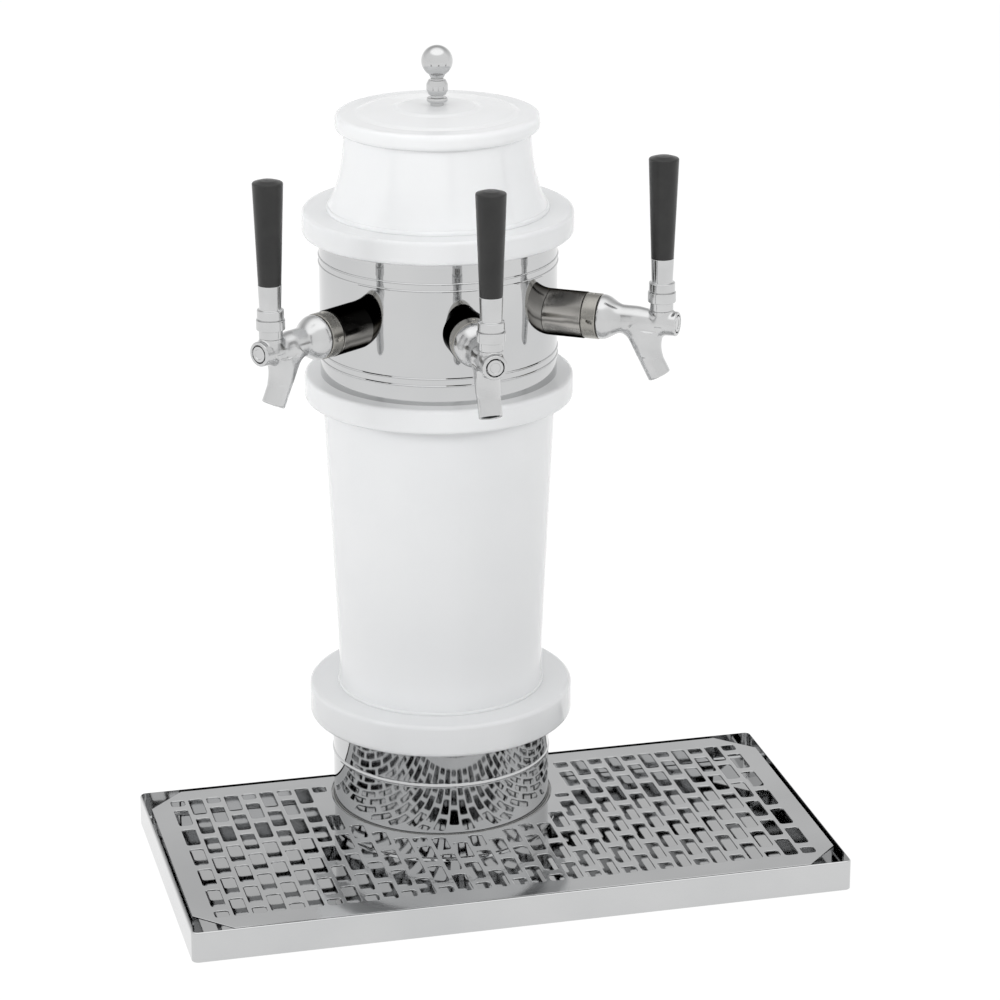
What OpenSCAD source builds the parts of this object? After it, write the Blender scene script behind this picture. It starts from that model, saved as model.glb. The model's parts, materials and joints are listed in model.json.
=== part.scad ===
// Three-tap draft beer tower with a wrap-around drip tray.
// The origin is on the column's axis at counter level. The taps face -Y and +Z is up.

/* [Column] */
// Outside radius of the polished neck
neck_r = 100; // [94:0.5:103]
// Height of the neck above the counter
neck_h = 112; // [96:0.5:130]
// Sheet thickness of the polished steel sections
steel_t = 2; // [1.5:0.1:3]
// Height of the bead round the neck
bead_z = 75.5; // [60:0.5:88]
// Radius of the bead's section
bead_r = 2.1; // [1:0.1:2.4]
// Radius of the three white flanges
flange_r = 120.5; // [119:0.5:128]
// Height of the foot flange
foot_flange_h = 29.8; // [24:0.1:36]
// Height of the shoulder flange
shoulder_flange_h = 22.4; // [18:0.1:28]
// Height of the upper flange
upper_flange_h = 21.3; // [18:0.1:28]
// Rounding of the flanges' rims
flange_round = 3.5; // [2:0.1:6]
// Bore of the flanges
flange_bore_r = 84; // [82:0.5:86]
// Height of the white body
body_h = 273.8; // [240:0.2:320]
// Radius of the body at its foot
body_low_r = 93.4; // [92:0.2:97]
// Radius of the body at its shoulder
body_top_r = 104.3; // [98:0.1:108]
// Wall of the white shells
shell_t = 7; // [6:0.5:8]

/* [Faucet band] */
// Outside radius of the polished band
band_r = 106; // [103:0.5:110]
// Height of the band
band_h = 128; // [116:0.5:140]
// Height of the taps above the band's foot
tap_rise = 64.4; // [58:0.2:70]
// Turn from one tap to the next
tap_pitch = 56.3; // [50:0.1:60]

/* [Dome, lid and finial] */
// Radius of the dome's foot
dome_low_r = 99; // [97:0.5:103]
// Radius of the dome under the lid
dome_top_r = 82.5; // [80:0.5:86]
// Height of the dome
dome_h = 70.7; // [62:0.1:80]
// Radius of the lid
lid_r = 90.3; // [88:0.1:94]
// Height of the lid's rim
lid_rim_h = 15.5; // [13:0.5:20]
// Rise of each step on the lid
lid_step_h = 1.6; // [1:0.1:3]
// Radius of the finial's ball
ball_r = 13.8; // [12:0.1:16]

/* [Taps] */
// Distance from the column's axis to the handle of each side tap
side_reach = 207.8; // [202:0.2:220]
// Distance from the column's axis to the handle of the centre tap
centre_reach = 195; // [192:0.2:210]
// Distance from each handle back to the face of its coupling nut
body_l = 55; // [52:0.2:58]
// Radius of the shank
shank_r = 11; // [10:0.1:11.5]
// Radius of the collar round each shank
collar_r = 20.6; // [18.5:0.1:21.5]
// Radius of the coupling nut
coupling_r = 20.2; // [19.5:0.1:21.5]
// Length of the coupling nut
coupling_l = 13.1; // [12.5:0.1:15]
// Radius of the faucet's barrel
barrel_r = 12.5; // [12:0.1:13.5]
// Radius of the boss in front of the barrel
boss_r = 10.8; // [10.4:0.1:11.6]
// Radius of the spout
spout_r = 10.3; // [9.8:0.1:11]
// Height of the spout's tip below the tap's axis
spout_drop = 48.7; // [45:0.1:52]
// Lean of the spout from upright
spout_lean = 28; // [24:1:32]
// Height of the lever's pivot above the tap's axis
pivot_rise = 12; // [11.8:0.1:13]
// Furthest tilt of the lever
lever_tilt = 25; // [15:1:25]
// Length of the handle
handle_l = 91; // [70:0.5:130]
// Radius of the handle at its foot
handle_low_r = 9.9; // [9:0.1:12]
// Radius of the handle at its top
handle_top_r = 13.2; // [11:0.1:18]

/* [Drip tray] */
// Width of the tray
tray_w = 597; // [560:1:660]
// Depth of the tray
tray_d = 301; // [290:1:330]
// Height of the tray
tray_h = 28.5; // [24:0.5:34]
// Distance from the column's axis to the tray's front
tray_front = 242.5; // [232:0.5:260]
// Distance that the tray's middle lies to the right of the column
tray_side = 22.5; // [0:0.5:40]
// Sheet thickness of the tray and grate
tray_t = 1.5; // [1:0.1:2]
// Width of a hole in the grate
hole_w = 13; // [11:0.1:14]
// Length of a hole in the grate
hole_l = 34.3; // [30:0.1:36]
// Distance from one column of holes to the next
hole_pitch_x = 16.7; // [16:0.1:18]
// Bar left between two holes of a column
hole_bar = 8.7; // [7:0.1:10]
// Travel of the grate when it is lifted for cleaning
grate_lift = 60; // [40:1:70]

/* [Hidden] */

// Numbers of the taps, left to right
LEFT = -1;
CENTRE = 0;
RIGHT = 1;
TAPS = [LEFT, CENTRE, RIGHT];

// Clearances and finish
$fn = 96;
loose = 0.3;
running = 0.06;
seat = 0.2;
cut = 1;
gasket_t = 0.5;
edge = 0.6;

// Colours
steel_colour = [0.78, 0.79, 0.80];
dark_colour = [0.36, 0.35, 0.33];
white_colour = [0.93, 0.93, 0.94];
black_colour = [0.16, 0.16, 0.16];
rubber_colour = [0.10, 0.10, 0.10];
foam_colour = [0.85, 0.80, 0.55];
line_colour = [0.85, 0.90, 0.92];
plastic_colour = [0.90, 0.90, 0.86];

// Levels up the column
foot_flange_z = neck_h + gasket_t;
body_z = foot_flange_z + foot_flange_h + gasket_t;
shoulder_flange_z = body_z + body_h + gasket_t;
band_z = shoulder_flange_z + shoulder_flange_h + gasket_t;
upper_flange_z = band_z + band_h + gasket_t;
plate_z = upper_flange_z + upper_flange_h;
dome_z = plate_z + gasket_t;
lid_z = dome_z + dome_h;
finial_z = lid_z + lid_rim_h + 2 * lid_step_h;
tap_z = band_z + tap_rise;

// Body's profile: straight at the foot, then tapering to the shoulder
body_straight_h = 24;
body_blend_h = 30;
body_bead_h = 3;
body_bead_r = 1.4;

// Lips, bores and seats inside the column
neck_lip_r = flange_bore_r;
bead_sunk = 0.5;
band_lip_in_r = 92;
band_ring_r = band_r - steel_t - loose;
mount_t = 8;
port_r = 38;
bolt_circle_r = 75;
bolt_hole_r = 3.4;
bolt_count = 4;
quarter_turn = 360 / bolt_count;
rod_r = 5;
rod_inset = 12;
rod_thread_l = 6;
rod_front_turn = tap_pitch / 2;
rod_back_turn = 135;
rod_turns = [-rod_back_turn, -rod_front_turn, rod_front_turn, rod_back_turn];
clamp_plate_r = 88;
clamp_plate_t = 4;
rod_nut_r = 9.8;
rod_nut_h = 8;
rod_end_l = 3;
gasket_in = 2;
foam_in_r = 44;
foam_top_gap = 8;
foam_wall_gap = 2.7;
foam_rod_gap = 1.2;
foam_hole_r = rod_r + foam_rod_gap;
foam_body_r = min(body_low_r, body_top_r) - shell_t - foam_wall_gap;
core_r = min(flange_bore_r, foam_body_r + loose);
rod_circle_r = core_r - rod_inset;

// Ridges round the band
ridge_r = 0.9;
ridge_low_edge = 17.2;
ridge_top_edge = 19;
ridge_pitch = 6.5;

// Dome, lid and finial
dome_t = 6;
dome_bead_h = 4;
dome_bead_in = 2;
dome_share_z = [0, 0.08, 0.17, 0.28, 0.42, 0.60, 0.80, 1];
dome_share_r = [0, 0.20, 0.38, 0.54, 0.71, 0.86, 0.95, 1];
dome_shares = [for (i = [0 : len(dome_share_z) - 1]) [dome_share_r[i], dome_share_z[i]]];
lid_spigot_h = 5;
lid_spigot_r = dome_top_r - dome_t - loose;
lid_shell_t = 8;
lid_round = 4;
lid_step_slope = 8;
lid_step_1_r = 73.5;
lid_step_2_r = 41;
stud_r = 4;
stud_boss_r = 10;
stud_boss_h = 12;
stud_in_finial = 20;
finial_foot_r = 6;
finial_foot_h = 3.3;
finial_disc_r = 9.2;
finial_disc_h = 3.6;
finial_groove_r = 5.7;
finial_groove_h = 2;
finial_barrel_r = 9.2;
finial_barrel_h = 15.7;
finial_barrel_round = 4.5;
finial_neck_r = 7.4;
finial_neck_h = 5.2;

// Supply side of each tap
stub_circle_r = 20;
stub_r = 4.8;
stub_bore_r = 3.9;
socket_r = 7.5;
socket_bore_r = 4.8;
socket_bore_l = 14;
socket_l = 17;
stub_l = 20;
stub_z = 0.5;
grommet_lip_r = 41;
grommet_lip_t = 2;
line_r = 7.2;
line_bore_r = stub_r + loose;
line_bend_r = 30;
line_bottom_z = stub_z + socket_l + loose;
tail_l = 22;
tail_flange_r = 9;
tail_flange_t = 2;
tail_nut_r = 15.5;
tail_nut_l = 14;
tail_nut_lip_t = 2;
tail_nut_gap = 0.4;
tail_nut_lip_r = stub_r + tail_nut_gap;
locknut_r = 17;
locknut_t = 6;
shank_bore_r = 5;
shank_head_r = 14.6;
shank_head_t = 3;
shank_in_l = 31;

// Stations along a tap's shank, measured out from the column's axis
shank_x = band_r - steel_t - shank_in_l;
coupling_back_t = 3;

// Stations along a faucet, measured out from its handle's axis
body_x = -body_l;
coupling_x = body_x - loose - coupling_l;
head_x = coupling_x + coupling_back_t + loose;
shank_end_x = head_x + shank_head_t;
spigot_x = shank_end_x + loose;
spanner_hole_r = 1.6;
spanner_hole_deep = 2.4;
spanner_turns = [0, 90, 180, 270];

// Faucet's inside
spigot_r = 15.3;
coupling_bore_r = spigot_r + loose;
bell_r = 19.8;
bell_rim_l = 1.5;
bell_l = 14;
bell_shares = [[0.06, 0], [0.34, 0.30], [0.60, 0.62], [0.80, 0.86], [1, 1]];
chamber_r = 9.4;
valve_bore_r = 6;
seat_face_deep = 5.5;
seat_face_x = body_x + seat_face_deep;
boss_front_l = 15;
boss_back_l = 13;
cap_r = 7;
cap_t = 4.2;
spout_bore_r = 7.6;
spout_bore_l = 42;
spout_set_back = 0.9;
port_bore_r = 4.6;
port_bore_l = 10;
web_x = -9.5;
web_low_r = 8;
web_low_z = -27;
web_top_r = 11.5;
web_top_z = -8;
bonnet_boss_r = 10;
body_top_gap = 0.2;
body_top_rise = pivot_rise - body_top_gap;
ball_bore_r = 7.8;
neck_bore_r = 6.2;

// Lever, bonnet and handle, measured from the pivot
pivot_ball_r = 7;
bonnet_r = 10.2;
bonnet_rim_h = 7;
bonnet_sphere_r = sqrt(bonnet_r * bonnet_r + bonnet_rim_h * bonnet_rim_h);
bonnet_cavity_r = 7.4;
bonnet_throat_h = 4;
bonnet_throat_l = 1;
bonnet_throat_r = sqrt(bonnet_cavity_r * bonnet_cavity_r - bonnet_throat_h * bonnet_throat_h);
bonnet_mouth_r = 8.6;
bonnet_mouth_h = sqrt(bonnet_sphere_r * bonnet_sphere_r - bonnet_mouth_r * bonnet_mouth_r);
stem_r = 3.2;
stem_in_handle = 14;
skirt_r = 12.4;
skirt_foot_h = bonnet_rim_h + loose;
skirt_top_h = 17.2;
skirt_socket_gap = 0.5;
skirt_socket_r = bonnet_sphere_r + skirt_socket_gap;
finger_r = 1.8;
finger_ball_r = 2.8;
ferrule_ring_r = 11.5;
ferrule_ring_h = 9.6;
ferrule_low_r = 9.4;
ferrule_top_r = 10.2;
ferrule_h = 29.3;
ferrule_waist_h = 1;
handle_crown_h = 2.5;

// Valve shaft, measured from the pivot's station
shaft_r = 3;
shaft_block_r = valve_bore_r - running;
shaft_block_l = 17;
slot_gap = 0.7;
slot_w = 2 * finger_ball_r + slot_gap;
slot_floor = -3.4;
block_top = 2.6;
washer_r = 8;
washer_t = 3;
shaft_head_r = 4.4;
shaft_head_t = 2.6;

// Ball seat
ball_seat_r = ball_bore_r - loose;
ball_seat_h = 1.8;
ball_seat_low_r = 5.7;
ball_seat_top_r = 6.1;
ball_seat_drop = 5.6;

// Tray
tray_corner_r = 6;
tray_foot_h = 3;
tray_skirt_z = 0.4;
foot_pad_r = 9;
foot_inset = 22;
notch_gap = 2.3;
seal_t = notch_gap - 2 * loose;
seal_z = 21;
seal_h = 7;
grate_side_gap = 4.5;
grate_front_gap = 1.5;
grate_back_gap = 4.5;
grate_notch_gap = 1.2;
grate_chamfer = 32;
grate_notch_margin = 3;
hole_corner = 2.6;
hole_min_l = 8;
hole_side_margin = 18;
hole_end_margin = 20;

tray_back = tray_d - tray_front;
tray_middle_y = (tray_back - tray_front) / 2;
notch_in_r = neck_r + notch_gap;
notch_out_r = notch_in_r + tray_t;
floor_z = tray_foot_h;
floor_top_z = floor_z + tray_t;
grate_z = tray_h - tray_t;
grate_notch_r = notch_out_r + grate_notch_gap;
grate_w = tray_w - 2 * (tray_t + grate_side_gap);
grate_d = tray_d - 2 * tray_t - grate_front_gap - grate_back_gap;
hole_pitch_y = hole_l + hole_bar;
hole_rows = floor((grate_d - 2 * hole_end_margin + hole_bar) / hole_pitch_y);
hole_columns = 1 + 2 * floor((grate_w - 2 * hole_side_margin - hole_w) / (2 * hole_pitch_x));
hole_span_y = hole_rows * hole_pitch_y - hole_bar;
hole_low_y = tray_middle_y - hole_span_y / 2;
hole_high_y = hole_low_y + hole_span_y;
keep_out_r = grate_notch_r + grate_notch_margin;

// Turn of a tap about the column, and its handle's distance from the column's axis
function tap_turn(tap) = tap * tap_pitch;
function tap_reach(tap) = tap == CENTRE ? centre_reach : side_reach;

// Section of a ring with rounded rims
module ring_profile(out_r, in_r, h, rounding) {
    translate([in_r, 0]) square([out_r - in_r - rounding, h]);
    translate([in_r, rounding]) square([out_r - in_r, h - 2 * rounding]);
    translate([out_r - rounding, rounding]) circle(rounding);
    translate([out_r - rounding, h - rounding]) circle(rounding);
}

module tube(out_r, in_r, h) {
    difference() {
        cylinder(r = out_r, h = h);
        translate([0, 0, -cut]) cylinder(r = in_r, h = h + 2 * cut);
    }
}

// Turned part along Z from a list of [radius, height] points
module turned(points) {
    rotate_extrude() polygon(points);
}

// Places its children at a tap: +X outward, the origin on the column's axis at the tap's height
module at_tap(tap) {
    rotate([0, 0, tap_turn(tap) - 90]) translate([0, 0, tap_z]) children();
}

// Turns a part made along Z so that it lies along a tap, from station x
module along_tap(x) {
    translate([x, 0, 0]) rotate([0, 90, 0]) children();
}

// Places its children at a faucet: the origin where its handle's axis crosses the tap's axis
module at_faucet(tap) {
    at_tap(tap) translate([tap_reach(tap), 0, 0]) children();
}

module at_pivot(tap) {
    at_faucet(tap) translate([0, 0, pivot_rise]) children();
}

module at_rods() {
    for (turn = rod_turns) rotate([0, 0, turn - 90]) translate([rod_circle_r, 0, 0]) children();
}

module hex_nut(corner_r, bore_r, h) {
    difference() {
        cylinder(r = corner_r, h = h, $fn = 6);
        translate([0, 0, -cut]) cylinder(r = bore_r, h = h + 2 * cut);
    }
}

// Pieces of the column, from the counter up

module mount_flange() {
    color(steel_colour) difference() {
        cylinder(r = neck_r - steel_t - loose, h = mount_t);
        translate([0, 0, -cut]) cylinder(r = port_r, h = mount_t + 2 * cut);
        for (i = [0 : bolt_count - 1]) {
            rotate([0, 0, i * quarter_turn]) translate([bolt_circle_r, 0, -cut])
                cylinder(r = bolt_hole_r, h = mount_t + 2 * cut);
        }
        at_rods() translate([0, 0, mount_t - rod_thread_l])
            cylinder(r = rod_r + running, h = rod_thread_l + cut);
    }
}

module base_neck() {
    color(steel_colour) {
        rotate_extrude() {
            translate([neck_r - steel_t, 0]) square([steel_t, neck_h]);
            translate([neck_lip_r, mount_t]) square([neck_r - steel_t / 2 - neck_lip_r, steel_t]);
            translate([neck_lip_r, neck_h - steel_t]) square([neck_r - steel_t / 2 - neck_lip_r, steel_t]);
            translate([neck_r - bead_sunk, bead_z]) circle(bead_r, $fn = 32);
        }
    }
}

module white_flange(z, h) {
    color(white_colour) translate([0, 0, z]) rotate_extrude()
        ring_profile(flange_r, flange_bore_r, h, flange_round);
}

module foot_flange() {
    white_flange(foot_flange_z, foot_flange_h);
}

// Radius of the body at a height above its own foot, with a smooth start of the taper
function body_taper(z) = (body_top_r - body_low_r) / (body_h - body_straight_h - body_blend_h / 2);
function body_outside(z) =
    z <= body_straight_h ? body_low_r
    : z <= body_straight_h + body_blend_h
        ? body_low_r + body_taper(z) * pow(z - body_straight_h, 2) / (2 * body_blend_h)
    : body_low_r + body_taper(z) * (z - body_straight_h - body_blend_h / 2);

body_steps = 4;
body_levels = concat(
    [0, body_straight_h],
    [for (i = [1 : body_steps]) body_straight_h + body_blend_h * i / body_steps],
    [body_h]);

module column_body() {
    outside = [for (z = body_levels) [body_outside(z), z]];
    inside = [for (i = [len(body_levels) - 1 : -1 : 0])
        [body_outside(body_levels[i]) - shell_t, body_levels[i]]];
    color(white_colour) translate([0, 0, body_z]) rotate_extrude() {
        polygon(concat(outside, inside));
        translate([body_low_r, body_bead_r]) circle(body_bead_r, $fn = 32);
    }
}

module shoulder_flange() {
    white_flange(shoulder_flange_z, shoulder_flange_h);
}

// Ring inside the band's foot that keeps it round and centred
module band_ring() {
    color(steel_colour) translate([0, 0, band_z]) tube(band_ring_r, band_lip_in_r, steel_t);
}

module faucet_band() {
    color(steel_colour) difference() {
        translate([0, 0, band_z]) rotate_extrude() {
            translate([band_r - steel_t, 0]) square([steel_t, band_h]);
            translate([band_lip_in_r, band_h - steel_t]) square([band_r - steel_t / 2 - band_lip_in_r, steel_t]);
            for (h = [0, ridge_pitch]) {
                translate([band_r, ridge_low_edge + h]) circle(ridge_r, $fn = 24);
                translate([band_r, band_h - ridge_top_edge - h]) circle(ridge_r, $fn = 24);
            }
        }
        for (tap = TAPS) {
            at_tap(tap) along_tap(band_lip_in_r) cylinder(r = shank_r + loose, h = band_r);
        }
    }
}

module upper_flange() {
    white_flange(upper_flange_z, upper_flange_h);
}

module dome() {
    span_r = dome_low_r - dome_bead_in - dome_top_r;
    shoulder_r = dome_low_r - dome_bead_in;
    rise = dome_h - dome_bead_h;
    outside = [for (s = dome_shares) [shoulder_r - span_r * s[0], dome_bead_h + rise * s[1]]];
    inside = [for (i = [len(outside) - 1 : -1 : 0]) [outside[i][0] - dome_t, outside[i][1]]];
    color(white_colour) translate([0, 0, dome_z]) rotate_extrude() {
        polygon(concat(outside, inside, [[shoulder_r - dome_t, 0], [shoulder_r, 0]]));
        translate([shoulder_r - dome_bead_in, 0]) square([2 * dome_bead_in, dome_bead_h / 2]);
        translate([shoulder_r, dome_bead_h / 2]) circle(dome_bead_in, $fn = 32);
    }
}

// Raised round step on the lid with a sloped edge
module lid_step(r, z) {
    translate([0, 0, z]) cylinder(r1 = r, r2 = r - lid_step_slope, h = lid_step_h);
}

module lid() {
    rim_top_z = lid_rim_h;
    color(white_colour) translate([0, 0, lid_z]) difference() {
        union() {
            rotate_extrude() ring_profile(lid_r, 0, lid_rim_h, lid_round);
            translate([0, 0, -lid_spigot_h]) cylinder(r = lid_spigot_r, h = lid_spigot_h + cut);
            lid_step(lid_step_1_r, rim_top_z);
            lid_step(lid_step_2_r, rim_top_z + lid_step_h);
        }
        translate([0, 0, -lid_spigot_h - cut])
            cylinder(r = lid_spigot_r - dome_t, h = lid_spigot_h + cut + lid_rim_h - lid_shell_t);
        cylinder(r = stud_r + loose, h = finial_z);
    }
}

module finial() {
    disc_z = finial_foot_h;
    groove_z = disc_z + finial_disc_h;
    barrel_z = groove_z + finial_groove_h;
    neck_z = barrel_z + finial_barrel_h;
    ball_z = neck_z + finial_neck_h + sqrt(ball_r * ball_r - finial_neck_r * finial_neck_r);
    color(steel_colour) translate([0, 0, finial_z]) difference() {
        union() {
            cylinder(r = finial_foot_r, h = disc_z + cut);
            translate([0, 0, disc_z]) rotate_extrude()
                ring_profile(finial_disc_r, 0, finial_disc_h, finial_disc_h / 2 - running);
            translate([0, 0, disc_z]) cylinder(r = finial_groove_r, h = neck_z - disc_z);
            translate([0, 0, barrel_z]) rotate_extrude()
                ring_profile(finial_barrel_r, 0, finial_barrel_h, finial_barrel_round);
            translate([0, 0, neck_z - cut])
                cylinder(r1 = finial_groove_r, r2 = finial_neck_r, h = finial_neck_h + 2 * cut);
            translate([0, 0, ball_z]) sphere(ball_r);
        }
        translate([0, 0, -cut]) cylinder(r = stud_r + running, h = stud_in_finial + cut);
    }
}

module top_stud() {
    low_z = plate_z + cut;
    high_z = finial_z + stud_in_finial - cut;
    color(steel_colour) translate([0, 0, low_z]) cylinder(r = stud_r, h = high_z - low_z);
}

module clamp_plate() {
    color(steel_colour) difference() {
        union() {
            translate([0, 0, plate_z]) cylinder(r = clamp_plate_r, h = clamp_plate_t);
            translate([0, 0, plate_z]) cylinder(r = stud_boss_r, h = stud_boss_h);
        }
        at_rods() translate([0, 0, plate_z - cut]) cylinder(r = rod_r + loose, h = clamp_plate_t + 2 * cut);
        translate([0, 0, plate_z + cut - loose]) cylinder(r = stud_r + running, h = stud_boss_h);
    }
}

module tie_rods() {
    low_z = mount_t - rod_thread_l + loose;
    high_z = plate_z + clamp_plate_t + rod_nut_h + rod_end_l;
    color(steel_colour) at_rods() translate([0, 0, low_z]) cylinder(r = rod_r, h = high_z - low_z);
}

module rod_nuts() {
    color(steel_colour) at_rods() translate([0, 0, plate_z + clamp_plate_t])
        hex_nut(rod_nut_r, rod_r + running, rod_nut_h);
}

module flat_gasket(z, out_r, in_r) {
    translate([0, 0, z]) tube(out_r, in_r, gasket_t);
}

module ring_gaskets() {
    shell_in = shell_t - gasket_in;
    color(rubber_colour) {
        flat_gasket(neck_h, neck_r - gasket_in / 2, flange_bore_r + gasket_in);
        flat_gasket(body_z - gasket_t, body_low_r - gasket_in / 2, body_low_r - shell_in);
        flat_gasket(body_z + body_h, body_top_r - gasket_in / 2, body_top_r - shell_in);
        flat_gasket(band_z - gasket_t, band_r - gasket_in / 2, band_lip_in_r + gasket_in);
        flat_gasket(band_z + band_h, band_r - gasket_in / 2, band_lip_in_r + gasket_in);
        flat_gasket(plate_z, dome_low_r - dome_bead_in - gasket_in / 2, clamp_plate_r + gasket_in);
    }
}

module insulation_sleeve() {
    low_z = mount_t + loose;
    high_z = shoulder_flange_z - foam_top_gap;
    color(foam_colour) difference() {
        union() {
            translate([0, 0, low_z]) cylinder(r = core_r - loose, h = high_z - low_z);
            translate([0, 0, body_z]) cylinder(r = foam_body_r, h = high_z - body_z);
        }
        cylinder(r = foam_in_r, h = high_z + cut);
        at_rods() cylinder(r = foam_hole_r, h = high_z + cut);
    }
}

// Line side of the taps

module at_stubs() {
    for (tap = TAPS) rotate([0, 0, tap_turn(tap) - 90]) translate([stub_circle_r, 0, 0]) children();
}

module line_grommet() {
    color(rubber_colour) difference() {
        union() {
            translate([0, 0, loose]) cylinder(r = port_r - loose, h = mount_t);
            translate([0, 0, mount_t]) cylinder(r = grommet_lip_r, h = grommet_lip_t);
        }
        at_stubs() cylinder(r = socket_r + seat, h = socket_l);
    }
}

// Each inlet has a socket for the supply line below and a barb for the tower's own line above
module inlet_stubs() {
    color(steel_colour) at_stubs() translate([0, 0, stub_z]) difference() {
        union() {
            cylinder(r = socket_r, h = socket_l);
            cylinder(r = stub_r, h = socket_l + stub_l);
        }
        translate([0, 0, -cut]) cylinder(r = socket_bore_r, h = socket_bore_l + cut);
        cylinder(r = stub_bore_r, h = socket_l + stub_l + cut);
    }
}

module line_section() {
    difference() {
        circle(line_r);
        circle(line_bore_r);
    }
}

// Each line rises inside the sleeve and bends out to the back of its shank
module beer_lines() {
    bend_z = tap_z - line_bend_r;
    bend_x = stub_circle_r + line_bend_r;
    color(line_colour) for (tap = TAPS) {
        rotate([0, 0, tap_turn(tap) - 90]) {
            translate([stub_circle_r, 0, line_bottom_z])
                linear_extrude(bend_z - line_bottom_z) line_section();
            translate([bend_x, 0, bend_z]) rotate([90, 0, 0]) rotate([0, 0, 90])
                rotate_extrude(angle = 90) translate([line_bend_r, 0]) line_section();
            translate([bend_x, 0, tap_z]) rotate([0, 90, 0])
                linear_extrude(tail_x + tail_l - line_bore_r - bend_x) line_section();
        }
    }
}

// Barbed tail that the line is pushed over, with a flange held by the hexagonal nut
tail_x = stub_circle_r + line_bend_r + cut;
tail_flange_x = shank_x - loose - tail_flange_t;

module tail_pieces() {
    color(steel_colour) for (tap = TAPS) {
        at_tap(tap) along_tap(tail_x) difference() {
            union() {
                cylinder(r = stub_r, h = tail_flange_x - tail_x + cut);
                translate([0, 0, tail_flange_x - tail_x]) cylinder(r = tail_flange_r, h = tail_flange_t);
            }
            translate([0, 0, -cut]) cylinder(r = stub_bore_r, h = band_r);
        }
    }
}

module tail_nuts() {
    nut_x = tail_flange_x - loose - tail_nut_lip_t;
    color(steel_colour) for (tap = TAPS) {
        at_tap(tap) along_tap(nut_x) difference() {
            cylinder(r = tail_nut_r, h = tail_nut_l, $fn = 6);
            translate([0, 0, tail_nut_lip_t]) cylinder(r = shank_r + running, h = tail_nut_l);
            translate([0, 0, -cut]) cylinder(r = tail_nut_lip_r, h = tail_nut_l);
        }
    }
}

module shank_locknuts() {
    // The nut's corners reach the curved wall first
    inner_r = band_r - steel_t - loose;
    face_x = sqrt(inner_r * inner_r - locknut_r * locknut_r);
    color(steel_colour) for (tap = TAPS) {
        at_tap(tap) along_tap(face_x - locknut_t) hex_nut(locknut_r, shank_r + running, locknut_t);
    }
}

module shanks() {
    color(steel_colour) for (tap = TAPS) {
        head_l = tap_reach(tap) + head_x - shank_x;
        at_tap(tap) along_tap(shank_x) difference() {
            union() {
                cylinder(r = shank_r, h = head_l + shank_head_t);
                translate([0, 0, head_l]) cylinder(r = shank_head_r, h = shank_head_t);
            }
            translate([0, 0, -cut]) cylinder(r = shank_bore_r, h = head_l + shank_head_t + 2 * cut);
        }
    }
}

// Spacer from the band's curved face to the back of the coupling nut
module shank_collar(tap) {
    front_x = tap_reach(tap) + coupling_x - loose;
    color(dark_colour) difference() {
        at_tap(tap) along_tap(band_lip_in_r) tube(collar_r, shank_r + loose, front_x - band_lip_in_r);
        cylinder(r = band_r + loose, h = upper_flange_z);
    }
}

module coupling_nut(tap) {
    color(steel_colour) at_faucet(tap) along_tap(coupling_x) difference() {
        rotate_extrude() ring_profile(coupling_r, 0, coupling_l, edge);
        translate([0, 0, -cut]) cylinder(r = shank_r + loose, h = coupling_l);
        translate([0, 0, coupling_back_t]) cylinder(r = coupling_bore_r, h = coupling_l);
        for (turn = spanner_turns) {
            rotate([0, 0, turn]) translate([coupling_r - spanner_hole_deep, 0, coupling_l / 2])
                rotate([0, 90, 0]) cylinder(r = spanner_hole_r, h = coupling_r);
        }
    }
}

// The faucet itself, in its own frame

module bell() {
    rim_x = body_x + bell_rim_l;
    span_x = bell_l - bell_rim_l;
    span_r = bell_r - barrel_r;
    flare = [for (s = bell_shares) [bell_r - span_r * s[0], rim_x + edge + (span_x - edge) * s[1]]];
    along_tap(0) turned(concat(
        [[0, body_x], [bell_r, body_x], [bell_r, rim_x]], flare, [[0, body_x + bell_l]]));
}

module barrel() {
    from_x = body_x + bell_l - cut;
    along_tap(0) turned([
        [0, from_x], [barrel_r, from_x], [barrel_r, -boss_back_l - boss_r / 2], [boss_r, cut - boss_back_l],
        [boss_r, boss_front_l - edge], [boss_r - edge, boss_front_l], [0, boss_front_l]]);
}

// Leaning cylinder up from the middle of the spout's square-cut tip
module along_spout(r, from_l, to_l) {
    translate([-spout_set_back, 0, -spout_drop]) rotate([0, -spout_lean, 0])
        translate([0, 0, from_l]) cylinder(r = r, h = to_l - from_l);
}

// Web in the angle between the spout and the front boss
module spout_web() {
    translate([web_x, 0, web_low_z]) cylinder(r1 = web_low_r, r2 = web_top_r, h = web_top_z - web_low_z);
}

module faucet_body(tap) {
    spout_l = spout_drop / cos(spout_lean);
    color(steel_colour) at_faucet(tap) difference() {
        union() {
            along_tap(spigot_x) cylinder(r = spigot_r, h = body_x - spigot_x + cut);
            bell();
            barrel();
            cylinder(r = bonnet_boss_r, h = body_top_rise);
            along_spout(spout_r, 0, spout_l);
            spout_web();
        }
        along_tap(spigot_x - cut) cylinder(r = chamber_r, h = seat_face_x - spigot_x + cut);
        along_tap(spigot_x) cylinder(r = valve_bore_r, h = boss_front_l - cap_t - spigot_x);
        along_tap(boss_front_l - cap_t - cut) cylinder(r = cap_r + loose, h = cap_t + 2 * cut);
        cylinder(r = neck_bore_r, h = pivot_rise);
        translate([0, 0, pivot_rise - ball_seat_drop - loose]) cylinder(r = ball_bore_r, h = pivot_rise);
        along_spout(spout_bore_r, -cut, spout_bore_l);
        along_spout(port_bore_r, 0, spout_bore_l + port_bore_l);
    }
}

module front_caps() {
    color(steel_colour) for (tap = TAPS) {
        at_faucet(tap) along_tap(boss_front_l - cap_t - cut + seat) cylinder(r = cap_r, h = cap_t + cut);
    }
}

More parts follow.
